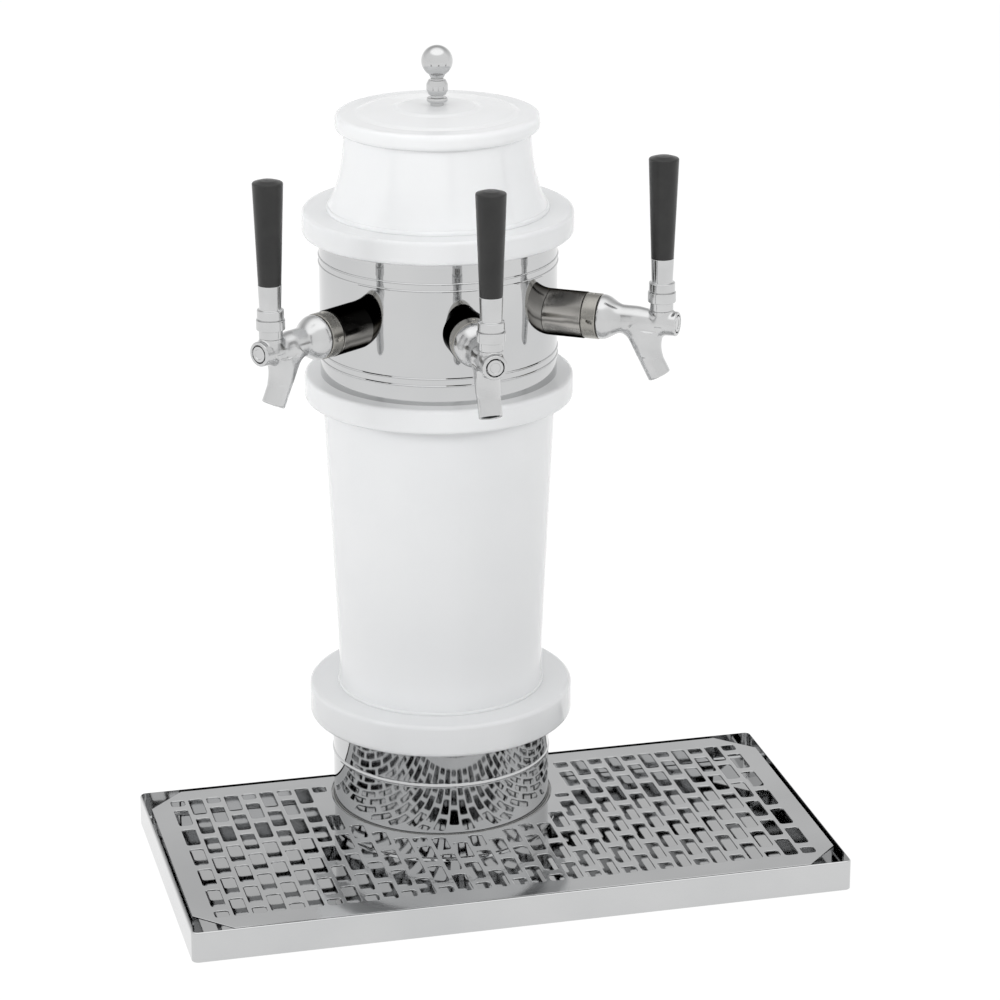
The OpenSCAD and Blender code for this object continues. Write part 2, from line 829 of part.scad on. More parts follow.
module ball_seats() {
    color(plastic_colour) for (tap = TAPS) {
        at_pivot(tap) translate([0, 0, -ball_seat_drop]) difference() {
            cylinder(r = ball_seat_r, h = ball_seat_h);
            translate([0, 0, -running]) cylinder(r1 = ball_seat_low_r, r2 = ball_seat_top_r,
                h = ball_seat_h + 2 * running);
        }
    }
}

module bonnet(tap) {
    foot_h = body_top_rise - pivot_rise;
    color(steel_colour) at_pivot(tap) difference() {
        intersection() {
            translate([0, 0, foot_h]) cylinder(r = bonnet_r, h = bonnet_mouth_h - foot_h);
            sphere(bonnet_sphere_r);
        }
        translate([0, 0, foot_h - cut]) cylinder(r = bonnet_cavity_r, h = cut - foot_h);
        intersection() {
            sphere(bonnet_cavity_r);
            cylinder(r = bonnet_cavity_r, h = bonnet_throat_h);
        }
        cylinder(r = bonnet_throat_r, h = bonnet_throat_h + bonnet_throat_l + running);
        translate([0, 0, bonnet_throat_h + bonnet_throat_l])
            cylinder(r1 = bonnet_throat_r, r2 = bonnet_mouth_r,
                h = bonnet_mouth_h - bonnet_throat_h - bonnet_throat_l);
        translate([0, 0, bonnet_mouth_h - running]) cylinder(r = bonnet_mouth_r, h = cut);
    }
}

// Ball, finger and skirt of the lever, with the stem that carries the handle
module lever(tap) {
    stem_top = skirt_top_h + ferrule_h + stem_in_handle;
    color(steel_colour) at_pivot(tap) {
        sphere(pivot_ball_r);
        translate([0, 0, -pivot_rise]) cylinder(r = finger_r, h = pivot_rise);
        translate([0, 0, -pivot_rise]) sphere(finger_ball_r);
        cylinder(r = stem_r, h = stem_top);
        difference() {
            translate([0, 0, skirt_foot_h]) rotate_extrude()
                ring_profile(skirt_r, 0, skirt_top_h - skirt_foot_h, edge);
            sphere(skirt_socket_r);
        }
    }
}

module ferrule(tap) {
    waist_z = ferrule_ring_h + ferrule_waist_h;
    color(steel_colour) at_pivot(tap) translate([0, 0, skirt_top_h]) difference() {
        union() {
            rotate_extrude() ring_profile(ferrule_ring_r, 0, ferrule_ring_h, edge);
            translate([0, 0, ferrule_ring_h - edge]) cylinder(r = ferrule_low_r, h = ferrule_h / 2);
            translate([0, 0, waist_z]) cylinder(r1 = ferrule_low_r, r2 = ferrule_top_r, h = ferrule_h - waist_z);
        }
        translate([0, 0, -cut]) cylinder(r = stem_r + running, h = ferrule_h + 2 * cut);
    }
}

module handle(tap) {
    color(black_colour) at_pivot(tap) translate([0, 0, skirt_top_h + ferrule_h]) difference() {
        turned([
            [0, 0], [handle_low_r - edge, 0], [handle_low_r, edge],
            [handle_top_r, handle_l - handle_crown_h - edge],
            [handle_top_r - edge, handle_l - handle_crown_h],
            [handle_top_r / 2, handle_l - edge],
            [0, handle_l]]);
        translate([0, 0, -cut]) cylinder(r = stem_r + running, h = stem_in_handle + cut + loose);
    }
}

// Shaft with a slotted block for the lever's finger; the block is flat on top to pass under the ball
module valve_shaft(tap) {
    head_from_x = seat_face_x - loose - washer_t - seat - shaft_head_t;
    color(steel_colour) at_faucet(tap) difference() {
        union() {
            along_tap(head_from_x) cylinder(r = shaft_head_r, h = shaft_head_t);
            along_tap(head_from_x) cylinder(r = shaft_r, h = -head_from_x);
            along_tap(-shaft_block_l / 2) cylinder(r = shaft_block_r, h = shaft_block_l);
        }
        translate([-slot_w / 2, -valve_bore_r, slot_floor])
            cube([slot_w, 2 * valve_bore_r, 2 * valve_bore_r]);
        translate([-shaft_block_l / 2 - cut, -valve_bore_r, block_top])
            cube([shaft_block_l + 2 * cut, 2 * valve_bore_r, valve_bore_r]);
    }
}

module seat_washer(tap) {
    color(rubber_colour) at_faucet(tap) along_tap(seat_face_x - loose - washer_t)
        tube(washer_r, shaft_r + running, washer_t);
}

// Drip tray

// Outline of the tray drawn in by a distance, with the notch grown by as much
module tray_outline(inset, notch_r) {
    w = tray_w - 2 * inset;
    d = tray_d - 2 * inset;
    corner = tray_corner_r;
    difference() {
        translate([tray_side - w / 2, tray_middle_y - d / 2]) {
            translate([corner, 0]) square([w - 2 * corner, d]);
            translate([0, corner]) square([w, d - 2 * corner]);
            for (x = [corner, w - corner]) {
                for (y = [corner, d - corner]) translate([x, y]) circle(corner, $fn = 48);
            }
        }
        circle(notch_r);
    }
}

module tray_pan() {
    color(steel_colour) difference() {
        translate([0, 0, tray_skirt_z]) linear_extrude(tray_h - tray_skirt_z)
            tray_outline(0, notch_in_r);
        translate([0, 0, floor_top_z]) linear_extrude(tray_h) tray_outline(tray_t, notch_out_r);
        translate([0, 0, -cut]) linear_extrude(floor_z + cut) tray_outline(tray_t, notch_out_r);
    }
}

module tray_feet() {
    half_w = tray_w / 2 - foot_inset;
    rows_y = [foot_inset - tray_front, tray_back - foot_inset];
    color(rubber_colour) {
        for (x = [tray_side - half_w, tray_side + half_w]) {
            for (y = rows_y) translate([x, y, 0]) cylinder(r = foot_pad_r, h = tray_foot_h);
        }
        translate([-tray_side, rows_y[0], 0]) cylinder(r = foot_pad_r, h = tray_foot_h);
        translate([tray_side, rows_y[0], 0]) cylinder(r = foot_pad_r, h = tray_foot_h);
    }
}

module notch_seal() {
    color(rubber_colour) translate([0, 0, seal_z]) difference() {
        tube(neck_r + loose + seal_t, neck_r + loose, seal_h);
        translate([-neck_r * 2, tray_back, -cut]) cube([neck_r * 4, neck_r, seal_h + 2 * cut]);
    }
}

// Corners of one hole, as a rectangle with clipped corners
function hole_path(x, low_y, high_y) = let (
    a = x - hole_w / 2,
    b = x + hole_w / 2,
    c = hole_corner,
    clip = c * 0.3
) [
    [a, low_y + c], [a + clip, low_y + clip], [a + c, low_y],
    [b - c, low_y], [b - clip, low_y + clip], [b, low_y + c],
    [b, high_y - c], [b - clip, high_y - clip], [b - c, high_y],
    [a + c, high_y], [a + clip, high_y - clip], [a, high_y - c]
];

// Half-height of the space kept clear of holes round the notch, at a column's nearer edge
function keep_out(x) = let (near = max(abs(x) - hole_w / 2, 0))
    near < keep_out_r ? sqrt(keep_out_r * keep_out_r - near * near) : 0;

// Pieces of a hole that lie outside the space round the notch
function hole_pieces(x, low_y, high_y) = let (limit = keep_out(x))
    limit == 0 ? [[low_y, high_y]]
    : [[low_y, min(high_y, -limit)], [max(low_y, limit), high_y]];

// Every hole as [x, low, high]; every second column is shifted by half a pitch and cut at the rows' ends
grate_holes = [
    for (i = [0 : hole_columns - 1])
        let (
            x = tray_side + (i - (hole_columns - 1) / 2) * hole_pitch_x,
            shift = i % 2 == 0 ? hole_pitch_y / 2 : 0
        )
        for (row = [0 : hole_rows])
            let (
                low = max(hole_low_y + row * hole_pitch_y - shift, hole_low_y),
                high = min(hole_low_y + row * hole_pitch_y - shift + hole_l, hole_high_y)
            )
            for (piece = hole_pieces(x, low, high))
                if (piece[1] - piece[0] > hole_min_l) [x, piece[0], piece[1]]
];

// Outline of the grate: chamfered corners
grate_left_x = tray_side - grate_w / 2;
grate_right_x = tray_side + grate_w / 2;
grate_low_y = tray_t + grate_front_gap - tray_front;
grate_high_y = grate_low_y + grate_d;
grate_path = [
    [grate_left_x + grate_chamfer, grate_low_y], [grate_right_x - grate_chamfer, grate_low_y],
    [grate_right_x, grate_low_y + grate_chamfer], [grate_right_x, grate_high_y - grate_chamfer],
    [grate_right_x - grate_chamfer, grate_high_y], [grate_left_x + grate_chamfer, grate_high_y],
    [grate_left_x, grate_high_y - grate_chamfer], [grate_left_x, grate_low_y + grate_chamfer]
];

hole_points = 12;

module grate_plate() {
    outline = len(grate_path);
    points = concat(grate_path, [for (h = grate_holes) each hole_path(h[0], h[1], h[2])]);
    paths = concat(
        [[for (i = [0 : outline - 1]) i]],
        [for (k = [0 : len(grate_holes) - 1])
            [for (i = [0 : hole_points - 1]) outline + k * hole_points + i]]);
    linear_extrude(tray_t) difference() {
        polygon(points, paths);
        circle(grate_notch_r);
    }
}

// Strip of folded edge that the grate stands on
module grate_leg(x, y, w, d) {
    translate([x, y, floor_top_z + seat]) cube([w, d, grate_z - floor_top_z - seat + tray_t / 2]);
}

module tray_grate() {
    long_w = grate_right_x - grate_left_x - 2 * grate_chamfer;
    side_d = grate_high_y - grate_low_y - 2 * grate_chamfer;
    notch_half = sqrt(grate_notch_r * grate_notch_r - grate_high_y * grate_high_y) + tray_t;
    left_w = -notch_half - grate_left_x - grate_chamfer;
    right_w = grate_right_x - grate_chamfer - notch_half;
    color(steel_colour) {
        translate([0, 0, grate_z]) grate_plate();
        grate_leg(grate_left_x + grate_chamfer, grate_low_y, long_w, tray_t);
        grate_leg(grate_left_x, grate_low_y + grate_chamfer, tray_t, side_d);
        grate_leg(grate_right_x - tray_t, grate_low_y + grate_chamfer, tray_t, side_d);
        grate_leg(grate_left_x + grate_chamfer, grate_high_y - tray_t, left_w, tray_t);
        grate_leg(notch_half, grate_high_y - tray_t, right_w, tray_t);
    }
}

mount_flange();
base_neck();
foot_flange();
column_body();
shoulder_flange();
band_ring();
faucet_band();
upper_flange();
dome();
lid();
finial();
top_stud();
clamp_plate();
tie_rods();
rod_nuts();
ring_gaskets();
insulation_sleeve();
line_grommet();
inlet_stubs();
beer_lines();
tail_pieces();
tail_nuts();
shank_locknuts();
shanks();
shank_collar(LEFT);  // shank_collar_left
shank_collar(CENTRE);  // shank_collar_centre
shank_collar(RIGHT);  // shank_collar_right
coupling_nut(LEFT);  // coupling_nut_left
coupling_nut(CENTRE);  // coupling_nut_centre
coupling_nut(RIGHT);  // coupling_nut_right
front_caps();
ball_seats();
faucet_body(LEFT);  // faucet_body_left
faucet_body(CENTRE);  // faucet_body_centre
faucet_body(RIGHT);  // faucet_body_right
bonnet(LEFT);  // bonnet_left
bonnet(CENTRE);  // bonnet_centre
bonnet(RIGHT);  // bonnet_right
lever(LEFT);  // lever_left
lever(CENTRE);  // lever_centre
lever(RIGHT);  // lever_right
ferrule(LEFT);  // ferrule_left
ferrule(CENTRE);  // ferrule_centre
ferrule(RIGHT);  // ferrule_right
handle(LEFT);  // handle_left
handle(CENTRE);  // handle_centre
handle(RIGHT);  // handle_right
valve_shaft(LEFT);  // valve_shaft_left
valve_shaft(CENTRE);  // valve_shaft_centre
valve_shaft(RIGHT);  // valve_shaft_right
seat_washer(LEFT);  // seat_washer_left
seat_washer(CENTRE);  // seat_washer_centre
seat_washer(RIGHT);  // seat_washer_right
tray_pan();
tray_feet();
notch_seal();
tray_grate();
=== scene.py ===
"""Looks of a three-tap draft beer tower with a drip tray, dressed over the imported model's frame."""

import json
import math

import bpy
import numpy as np
from mathutils import Matrix, Vector

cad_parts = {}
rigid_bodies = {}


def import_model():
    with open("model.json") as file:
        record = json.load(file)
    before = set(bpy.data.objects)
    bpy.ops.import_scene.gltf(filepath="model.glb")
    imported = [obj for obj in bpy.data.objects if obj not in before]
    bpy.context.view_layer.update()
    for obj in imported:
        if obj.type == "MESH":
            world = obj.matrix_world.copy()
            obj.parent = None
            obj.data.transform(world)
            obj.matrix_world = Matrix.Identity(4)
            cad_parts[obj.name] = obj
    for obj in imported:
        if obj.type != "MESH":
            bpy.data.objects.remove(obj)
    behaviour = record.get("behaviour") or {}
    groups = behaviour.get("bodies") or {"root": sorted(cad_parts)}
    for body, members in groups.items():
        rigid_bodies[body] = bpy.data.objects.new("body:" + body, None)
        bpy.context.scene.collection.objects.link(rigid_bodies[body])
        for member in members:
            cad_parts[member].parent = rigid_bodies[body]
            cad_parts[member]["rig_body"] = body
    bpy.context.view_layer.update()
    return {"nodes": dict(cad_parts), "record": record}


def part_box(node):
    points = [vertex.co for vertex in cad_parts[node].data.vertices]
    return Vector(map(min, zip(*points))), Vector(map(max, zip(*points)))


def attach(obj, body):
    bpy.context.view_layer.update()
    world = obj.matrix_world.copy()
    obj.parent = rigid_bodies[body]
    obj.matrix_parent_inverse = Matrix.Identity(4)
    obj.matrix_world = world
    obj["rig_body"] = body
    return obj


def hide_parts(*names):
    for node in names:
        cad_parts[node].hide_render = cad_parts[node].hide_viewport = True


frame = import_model()

MM = 0.001
SIDES = ("left", "centre", "right")
TURNS = 144


def low(node):
    """Lowest point of a CAD node, in millimetres."""
    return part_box(node)[0].z / MM


def high(node):
    """Highest point of a CAD node, in millimetres."""
    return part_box(node)[1].z / MM


def heights(node):
    return low(node), high(node)


def half_width(node):
    """Half of a CAD node's width, in millimetres."""
    lo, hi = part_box(node)
    return (hi.x - lo.x) / 2 / MM


def new_mesh(name, verts, faces):
    """Mesh from vertices in millimetres."""
    mesh = bpy.data.meshes.new(name)
    mesh.from_pydata([[c * MM for c in v] for v in verts], [], faces)
    return mesh


def add_object(name, data, matrix=None):
    thing = bpy.data.objects.new(name, data)
    bpy.context.scene.collection.objects.link(thing)
    if matrix is not None:
        thing.matrix_world = matrix
    return thing


# Camera, solved from the tray's corners, the flanges' ellipses and the taps in the photograph

SENSOR = 36.0
FOCAL_SHARE = 3.5193
PITCH = math.radians(19.52)
YAW = math.radians(14.09)
DISTANCE = 3.1996
TARGET_Z = 0.3153
SIDE_SHIFT = 0.0549
CLIP = (0.1, 100.0)


def make_camera():
    data = bpy.data.cameras.new("camera")
    data.sensor_width = SENSOR
    data.lens = SENSOR * FOCAL_SHARE
    data.clip_start, data.clip_end = CLIP
    forward = Vector((0, math.cos(PITCH), -math.sin(PITCH)))
    place = Vector((SIDE_SHIFT, 0, TARGET_Z)) - forward * DISTANCE
    tilt = Matrix.Rotation(math.pi / 2 - PITCH, 4, "X")
    matrix = Matrix.Rotation(-YAW, 4, "Z") @ Matrix.Translation(place) @ tilt
    bpy.context.scene.camera = add_object("camera", data, matrix)


# Shader nodes


def add_node(tree, kind, *values, operation=None, **named):
    """New shader node: each value is set on its input, or linked where it is a socket."""
    node = tree.nodes.new("ShaderNode" + kind)
    if operation:
        node.operation = operation
    given = list(zip(node.inputs, values))
    given += [(node.inputs[name.replace("_", " ")], value) for name, value in named.items()]
    for socket, value in given:
        if isinstance(value, bpy.types.NodeSocket):
            tree.links.new(value, socket)
        else:
            socket.default_value = value
    return node


def combine(tree, operation, *values):
    """Result of a math node."""
    return add_node(tree, "Math", *values, operation=operation).outputs[0]


def mixed(tree, share, first, second):
    """Mix of two shaders."""
    return add_node(tree, "MixShader", share, first, second).outputs[0]


def carry(tree, value, start, end, to_start=0.0, to_end=1.0):
    """The value carried from start..end to to_start..to_end."""
    node = add_node(tree, "MapRange", Value=value, From_Min=start, From_Max=end,
                    To_Min=to_start, To_Max=to_end)
    return node.outputs[0]


def tone_ramp(tree, value, stops):
    """Colour looked up by the value among (place, colour) stops."""
    node = add_node(tree, "ValToRGB", value)
    elements = node.color_ramp.elements
    for i, (place, colour) in enumerate(stops):
        element = elements[i] if i < 2 else elements.new(place)
        element.position = place
        element.color = (*colour, 1)
    return node.outputs[0]


def coordinates(tree, kind):
    """Coordinates of one kind, whole and split into X, Y and Z."""
    whole = add_node(tree, "TexCoord").outputs[kind]
    return whole, add_node(tree, "SeparateXYZ", whole).outputs


def tinted(stops, tint=(1, 1, 1)):
    """Turns (place, grey) stops into (place, colour) stops."""
    return [(place, [grey * share for share in tint]) for place, grey in stops]


def seen_plainly(tree):
    """A value that is 1 for camera, glossy and transmission rays."""
    path = add_node(tree, "LightPath").outputs
    glossy = combine(tree, "MAXIMUM", path["Is Camera Ray"], path["Is Glossy Ray"])
    return combine(tree, "MAXIMUM", glossy, path["Is Transmission Ray"])


# Light and ground

WHITE = (1, 1, 1, 1)
SKY_LIGHT = 0.79
SKY_BACK = (0.243, 0.970, 0.0)
SKY_SIDE = (0.05, 0.75)
SKY_RISE = ((0.0, 0.0), (0.54, 0.0), (0.62, 0.45), (0.70, 0.60), (0.78, 1.0), (0.90, 1.0), (0.97, 0.0))
SKY_TONES = ((0.0, 1.0), (1.0, 0.52))
SOFTBOX_Z = (0.72, 0.84)
SOFTBOX_GLOW = 0.5


def mirrored_sky(tree):
    """What metal mirrors: white, greyer high up behind the object, with a softbox high up in front."""
    ray, split = coordinates(tree, "Generated")
    behind = add_node(tree, "VectorMath", ray, SKY_BACK, operation="DOT_PRODUCT")
    side = carry(tree, behind.outputs["Value"], *SKY_SIDE)
    rise = tone_ramp(tree, carry(tree, split["Z"], -1, 1), tinted(SKY_RISE))
    wall = combine(tree, "MULTIPLY", rise, side)
    front = combine(tree, "SUBTRACT", 1, side)
    glow = carry(tree, split["Z"], *SOFTBOX_Z, 0.0, SOFTBOX_GLOW)
    strength = combine(tree, "MULTIPLY_ADD", glow, front, 1)
    tone = tone_ramp(tree, wall, tinted(SKY_TONES))
    return add_node(tree, "Background", Color=tone, Strength=strength).outputs[0]


def make_world():
    """Plain white for the camera, the mirrored sky for metal, and an even light for the rest."""
    world = bpy.data.worlds.new("studio")
    bpy.context.scene.world = world
    world.use_nodes = True
    tree = world.node_tree
    tree.nodes.clear()
    lighting = add_node(tree, "Background", Strength=SKY_LIGHT).outputs[0]
    white = add_node(tree, "Background", Color=WHITE).outputs[0]
    camera_ray = add_node(tree, "LightPath").outputs["Is Camera Ray"]
    around = mixed(tree, seen_plainly(tree), lighting, mirrored_sky(tree))
    add_node(tree, "OutputWorld", Surface=mixed(tree, camera_ray, around, white))


FLOOR_SIZE = 30000.0
FLOOR_GLOW = 0.90
FLOOR_SHADE = 0.20
FLOOR_TONE = 0.9


def floor_material():
    material = bpy.data.materials.new("floor_white")
    material.use_nodes = True
    tree = material.node_tree
    tree.nodes.clear()
    grey = (FLOOR_TONE, FLOOR_TONE, FLOOR_TONE, 1)
    matt = add_node(tree, "BsdfDiffuse", Color=grey).outputs[0]
    glow = add_node(tree, "Emission", Color=WHITE, Strength=FLOOR_GLOW / (1 - FLOOR_SHADE))
    seen = mixed(tree, FLOOR_SHADE, glow.outputs[0], matt)
    add_node(tree, "OutputMaterial", Surface=mixed(tree, seen_plainly(tree), matt, seen))
    return material


def make_floor():
    """White ground: it glows evenly where it is seen or mirrored, and keeps a faint shadow."""
    half = FLOOR_SIZE / 2
    corners = [(-half, -half, 0), (half, -half, 0), (half, half, 0), (-half, half, 0)]
    mesh = new_mesh("floor", corners, [(0, 1, 2, 3)])
    mesh.materials.append(floor_material())
    floor = add_object("floor", mesh)


# Name, place, target, width and height, power, and spread in degrees
LAMPS = (("key", (-2.2, -1.6, 2.0), (0, 0, 0.4), (1.2, 1.2), 10.2, 180),
         ("fill", (2.2, -1.2, 1.5), (0, 0, 0.4), (1.0, 1.6), 5.2, 180),
         ("top", (0.1, 0.5, 2.6), (0, 0, 0.4), (1.4, 1.0), 5.5, 180),
         ("side", (-1.6, -0.3, 0.9), (0, 0, 0.5), (0.8, 0.8), 2.1, 180),
         ("dome_left", (-0.9, -1.5, 1.35), (0, 0, 0.68), (0.5, 0.5), 0.22, 40),
         ("dome_right", (1.1, -1.4, 1.35), (0, 0, 0.68), (0.5, 0.5), 0.38, 40),
         ("dome_side", (-1.7, -0.5, 1.1), (0, 0, 0.60), (0.5, 0.5), 0.24, 40))


def area_light(name, place, target, size, power, spread_angle):
    data = bpy.data.lights.new(name, "AREA")
    data.shape = "RECTANGLE"
    data.size, data.size_y = size
    data.energy = power
    data.spread = math.radians(spread_angle)
    lamp = add_object(name, data)
    lamp.location = place
    lamp.rotation_euler = (Vector(target) - Vector(place)).to_track_quat("-Z", "Y").to_euler()
    lamp.visible_glossy = False


def make_lights():
    for lamp in LAMPS:
        area_light(*lamp)


# Materials: each is a principled shader whose colour, roughness and relief vary by noise; on the collars
# the colour is painted reflection in bands

EVEN = (1, 1, 1)
NOISE_SPAN = (0.3, 0.7)
TONE_PLACES = (0.35, 0.65)
ROUGH_FINER = 2.3
TONE_DETAIL = 3.0
ROUGH_DETAIL = 5.0
GRAIN_DETAIL = 2.0
REFLECTION_BAND_WANDER = 0.02
REFLECTION_BAND_PATCH = 60


def noise(tree, scale, detail=TONE_DETAIL, stretch=EVEN):
    """Noise in the object's own coordinates, in features per metre."""
    coords = add_node(tree, "TexCoord").outputs["Object"]
    place = add_node(tree, "Mapping", Vector=coords, Scale=stretch).outputs[0]
    return add_node(tree, "TexNoise", Vector=place, Scale=scale, Detail=detail).outputs["Fac"]


def patches(tree, tones, patch):
    """Colour that drifts between two tones in patches."""
    return tone_ramp(tree, noise(tree, patch), zip(TONE_PLACES, tones))


def painted_reflection_bands(tree, stops, _):
    """Painted reflection in bands along X, which runs from a collar's top to its bottom, across its whole
    width: painted shade above and below, painted highlights between.
    """
    split = coordinates(tree, "Object")[1]
    place = carry(tree, split["X"], -COLLAR_R * MM, COLLAR_R * MM)
    wander = carry(tree, noise(tree, REFLECTION_BAND_PATCH), *NOISE_SPAN, -REFLECTION_BAND_WANDER, REFLECTION_BAND_WANDER)
    return tone_ramp(tree, combine(tree, "ADD", place, wander), stops)


def make_material(name, tones, metallic, roughness, patch, grain, relief,
                  stretch=EVEN, colour=patches, constants=()):
    """roughness is (least, most); patch and grain are features per metre; relief is in metres."""
    material = bpy.data.materials.new(name)
    material.use_nodes = True
    tree = material.node_tree
    shader = tree.nodes["Principled BSDF"]
    shader.inputs["Metallic"].default_value = metallic
    for socket, value in constants:
        shader.inputs[socket].default_value = value
    tree.links.new(colour(tree, tones, patch), shader.inputs["Base Color"])
    rough = carry(tree, noise(tree, patch * ROUGH_FINER, ROUGH_DETAIL), *NOISE_SPAN, *roughness)
    tree.links.new(rough, shader.inputs["Roughness"])
    height = noise(tree, grain, GRAIN_DETAIL, stretch)
    bump = add_node(tree, "Bump", Strength=1.0, Distance=relief, Height=height)
    tree.links.new(bump.outputs[0], shader.inputs["Normal"])
    return material


CHROME_TONES = ((0.555, 0.558, 0.56), (0.60, 0.603, 0.605))
FINISHES = {
    "polished_steel": (((0.535, 0.54, 0.545), (0.575, 0.578, 0.58)), 1.0, (0.03, 0.07), 9, 900, 1.2e-6),
    "grate_steel": (((0.55, 0.555, 0.56), (0.60, 0.605, 0.61)), 1.0, (0.04, 0.10), 11, 900, 1.5e-6),
    "white_paint": (((0.855, 0.865, 0.875), (0.885, 0.893, 0.90)), 0.0, (0.09, 0.15), 7, 420, 3e-6),
    "chrome": (CHROME_TONES, 1.0, (0.08, 0.14), 40, 1200, 2e-6),
    "cast_chrome": (CHROME_TONES, 1.0, (0.17, 0.23), 40, 1200, 2e-6),
    "nut_nickel": (((0.33, 0.32, 0.295), (0.37, 0.36, 0.335)), 1.0, (0.24, 0.32), 50, 900, 5e-6),
    "black_plastic": (((0.009, 0.009, 0.009), (0.015, 0.015, 0.0145)), 0.0, (0.28, 0.38), 60, 2500, 8e-6),
    "plain_steel": (((0.50, 0.50, 0.51), (0.60, 0.60, 0.61)), 1.0, (0.25, 0.38), 60, 300, 8e-6, (1, 1, 20)),
    "brass": (((0.60, 0.46, 0.22), (0.70, 0.55, 0.28)), 1.0, (0.22, 0.35), 60, 900, 6e-6),
    "rubber": (((0.025, 0.025, 0.025), (0.045, 0.045, 0.045)), 0.0, (0.60, 0.80), 80, 1500, 3e-5),
    "grey_rubber": (((0.33, 0.33, 0.325), (0.39, 0.39, 0.385)), 0.0, (0.35, 0.5), 80, 1500, 1e-5),
    "foam": (((0.62, 0.52, 0.25), (0.75, 0.65, 0.36)), 0.0, (0.85, 0.95), 90, 900, 3e-4),
    "line_plastic": (((0.66, 0.74, 0.78), (0.74, 0.82, 0.85)), 0.0, (0.20, 0.35), 30, 500, 5e-6,
                     EVEN, patches, (("Transmission Weight", 0.35),)),
    "seat_plastic": (((0.76, 0.76, 0.71), (0.84, 0.84, 0.79)), 0.0, (0.35, 0.5), 60, 900, 8e-6),
}
COLLAR_TINT = (1, 0.97, 0.92)
COLLAR_SHINE = (("Specular Tint", (0.12, 0.12, 0.12, 1)),)
# Painted reflection on each collar, grey levels from its top (0) to its bottom (1): painted shade at the
# top and bottom, painted highlights between
COLLAR_PAINTED_REFLECTION = {
    "left": ((0.0, 0.006), (0.34, 0.008), (0.44, 0.10), (0.50, 0.24), (0.57, 0.30), (0.63, 0.20),
             (0.70, 0.42), (0.77, 0.14), (0.84, 0.008), (1.0, 0.006)),
    "centre": ((0.0, 0.005), (0.60, 0.007), (0.75, 0.03), (1.0, 0.006)),
    "right": ((0.0, 0.16), (0.26, 0.26), (0.42, 0.44), (0.50, 0.34), (0.55, 0.14), (0.60, 0.38),
              (0.76, 0.44), (0.82, 0.15), (0.90, 0.02), (1.0, 0.006)),
}


def make_materials():
    """A material for each of the record's slots, and more for pieces the photograph sets apart."""
    m = {name: make_material(name, *finish) for name, finish in FINISHES.items()}
    # The collars' dark nickel takes its colour from these painted reflection bands, not from noise patches
    for side, stops in COLLAR_PAINTED_REFLECTION.items():
        name = "dark_nickel_" + side
        m[name] = make_material(name, tinted(stops, COLLAR_TINT), 1.0, (0.14, 0.22), 30, 900, 4e-6,
                                EVEN, painted_reflection_bands, COLLAR_SHINE)
    return m


# Mesh tools

CORNER_SHARE = 0.49
CREASE = math.radians(38)
WALL_SHARE = 0.98


def shade(mesh, smooth=True):
    mesh.polygons.foreach_set("use_smooth", [smooth] * len(mesh.polygons))


def arc(radius, start, end, count):
    """Points (r, z) on a circle about the origin between two angles above the horizon."""
    return [(radius * math.cos(a), radius * math.sin(a)) for a in np.linspace(start, end, count)]


def rounded(points, steps=6, loop=False):
    """Profile points (r, z) or (r, z, corner radius) with each stated corner rounded."""
    out = []
    count = len(points)
    for i, point in enumerate(points):
        corner = Vector(point[:2])
        radius = point[2] if len(point) > 2 else 0
        ends = (i == 0 or i == count - 1) and not loop
        if not radius or ends:
            out.append(tuple(corner))
            continue
        before = Vector(points[i - 1][:2]) - corner
        after = Vector(points[(i + 1) % count][:2]) - corner
        half = before.angle(after) / 2
        reach = min(radius / math.tan(half), CORNER_SHARE * before.length, CORNER_SHARE * after.length)
        start = corner + before.normalized() * reach
        end = corner + after.normalized() * reach
        for k in range(steps + 1):
            t = k / steps
            out.append(tuple(start * (1 - t) ** 2 + corner * 2 * t * (1 - t) + end * t ** 2))
    return out


def profile_normals(points, loop):
    """For each segment of a profile, the normal at its start and end, smooth across gentle corners."""
    count = len(points)
    segments = count if loop else count - 1
    flat = []
    for i in range(segments):
        a, b = Vector(points[i]), Vector(points[(i + 1) % count])
        d = b - a
        flat.append((Vector((d.y, -d.x)).normalized(), d.length))
    limit = math.cos(CREASE)

    def joined(i, j):
        normal, length = flat[i]
        if not loop and not 0 <= j < segments:
            return normal
        other, other_length = flat[j % segments]
        if normal.dot(other) <= limit:
            return normal
        return (normal * length + other * other_length).normalized()

    return [(joined(i, i - 1), joined(i, i + 1)) for i in range(segments)]


def lathe_points(points, angles):
    """Vertices, and each one's number by row and column; on the axis a row is one vertex."""
    verts, index = [], {}
    for i, (r, z) in enumerate(points):
        for j, angle in enumerate(angles):
            if r < 1e-6 and j > 0:
                index[i, j] = index[i, 0]
                continue
            index[i, j] = len(verts)
            verts.append((r * math.cos(angle), r * math.sin(angle), z))
    return verts, index


def lathe_skin(points, angles, index, turns, loop):
    """Faces between neighbouring rows and columns, and a normal for each of their corners."""
    faces, normals = [], []
    for i, (at_start, at_end) in enumerate(profile_normals(points, loop)):
        k = (i + 1) % len(points)
        for j in range(turns):
            n = (j + 1) % len(angles)
            face, seen = [], []
            for row, column, normal in ((i, j, at_start), (i, n, at_start), (k, n, at_end), (k, j, at_end)):
                v = index[row, column]
                if v in face:
                    continue
                face.append(v)
                turn = angles[column]
                seen.append((normal.x * math.cos(turn), normal.x * math.sin(turn), normal.y))
            if len(face) > 2:
                faces.append(face)
                normals += seen
    return faces, normals


def lathe_ends(rows, angles, index):
    """Flat ends of a closed profile that is swept only part of the way round."""
    faces, normals = [], []
    for j, flip in ((0, 1), (len(angles) - 1, -1)):
        faces.append([index[i, j] for i in range(rows)][::flip])
        side = Vector((math.sin(angles[j]), -math.cos(angles[j]), 0)) * flip
        normals += [tuple(side)] * rows
    return faces, normals


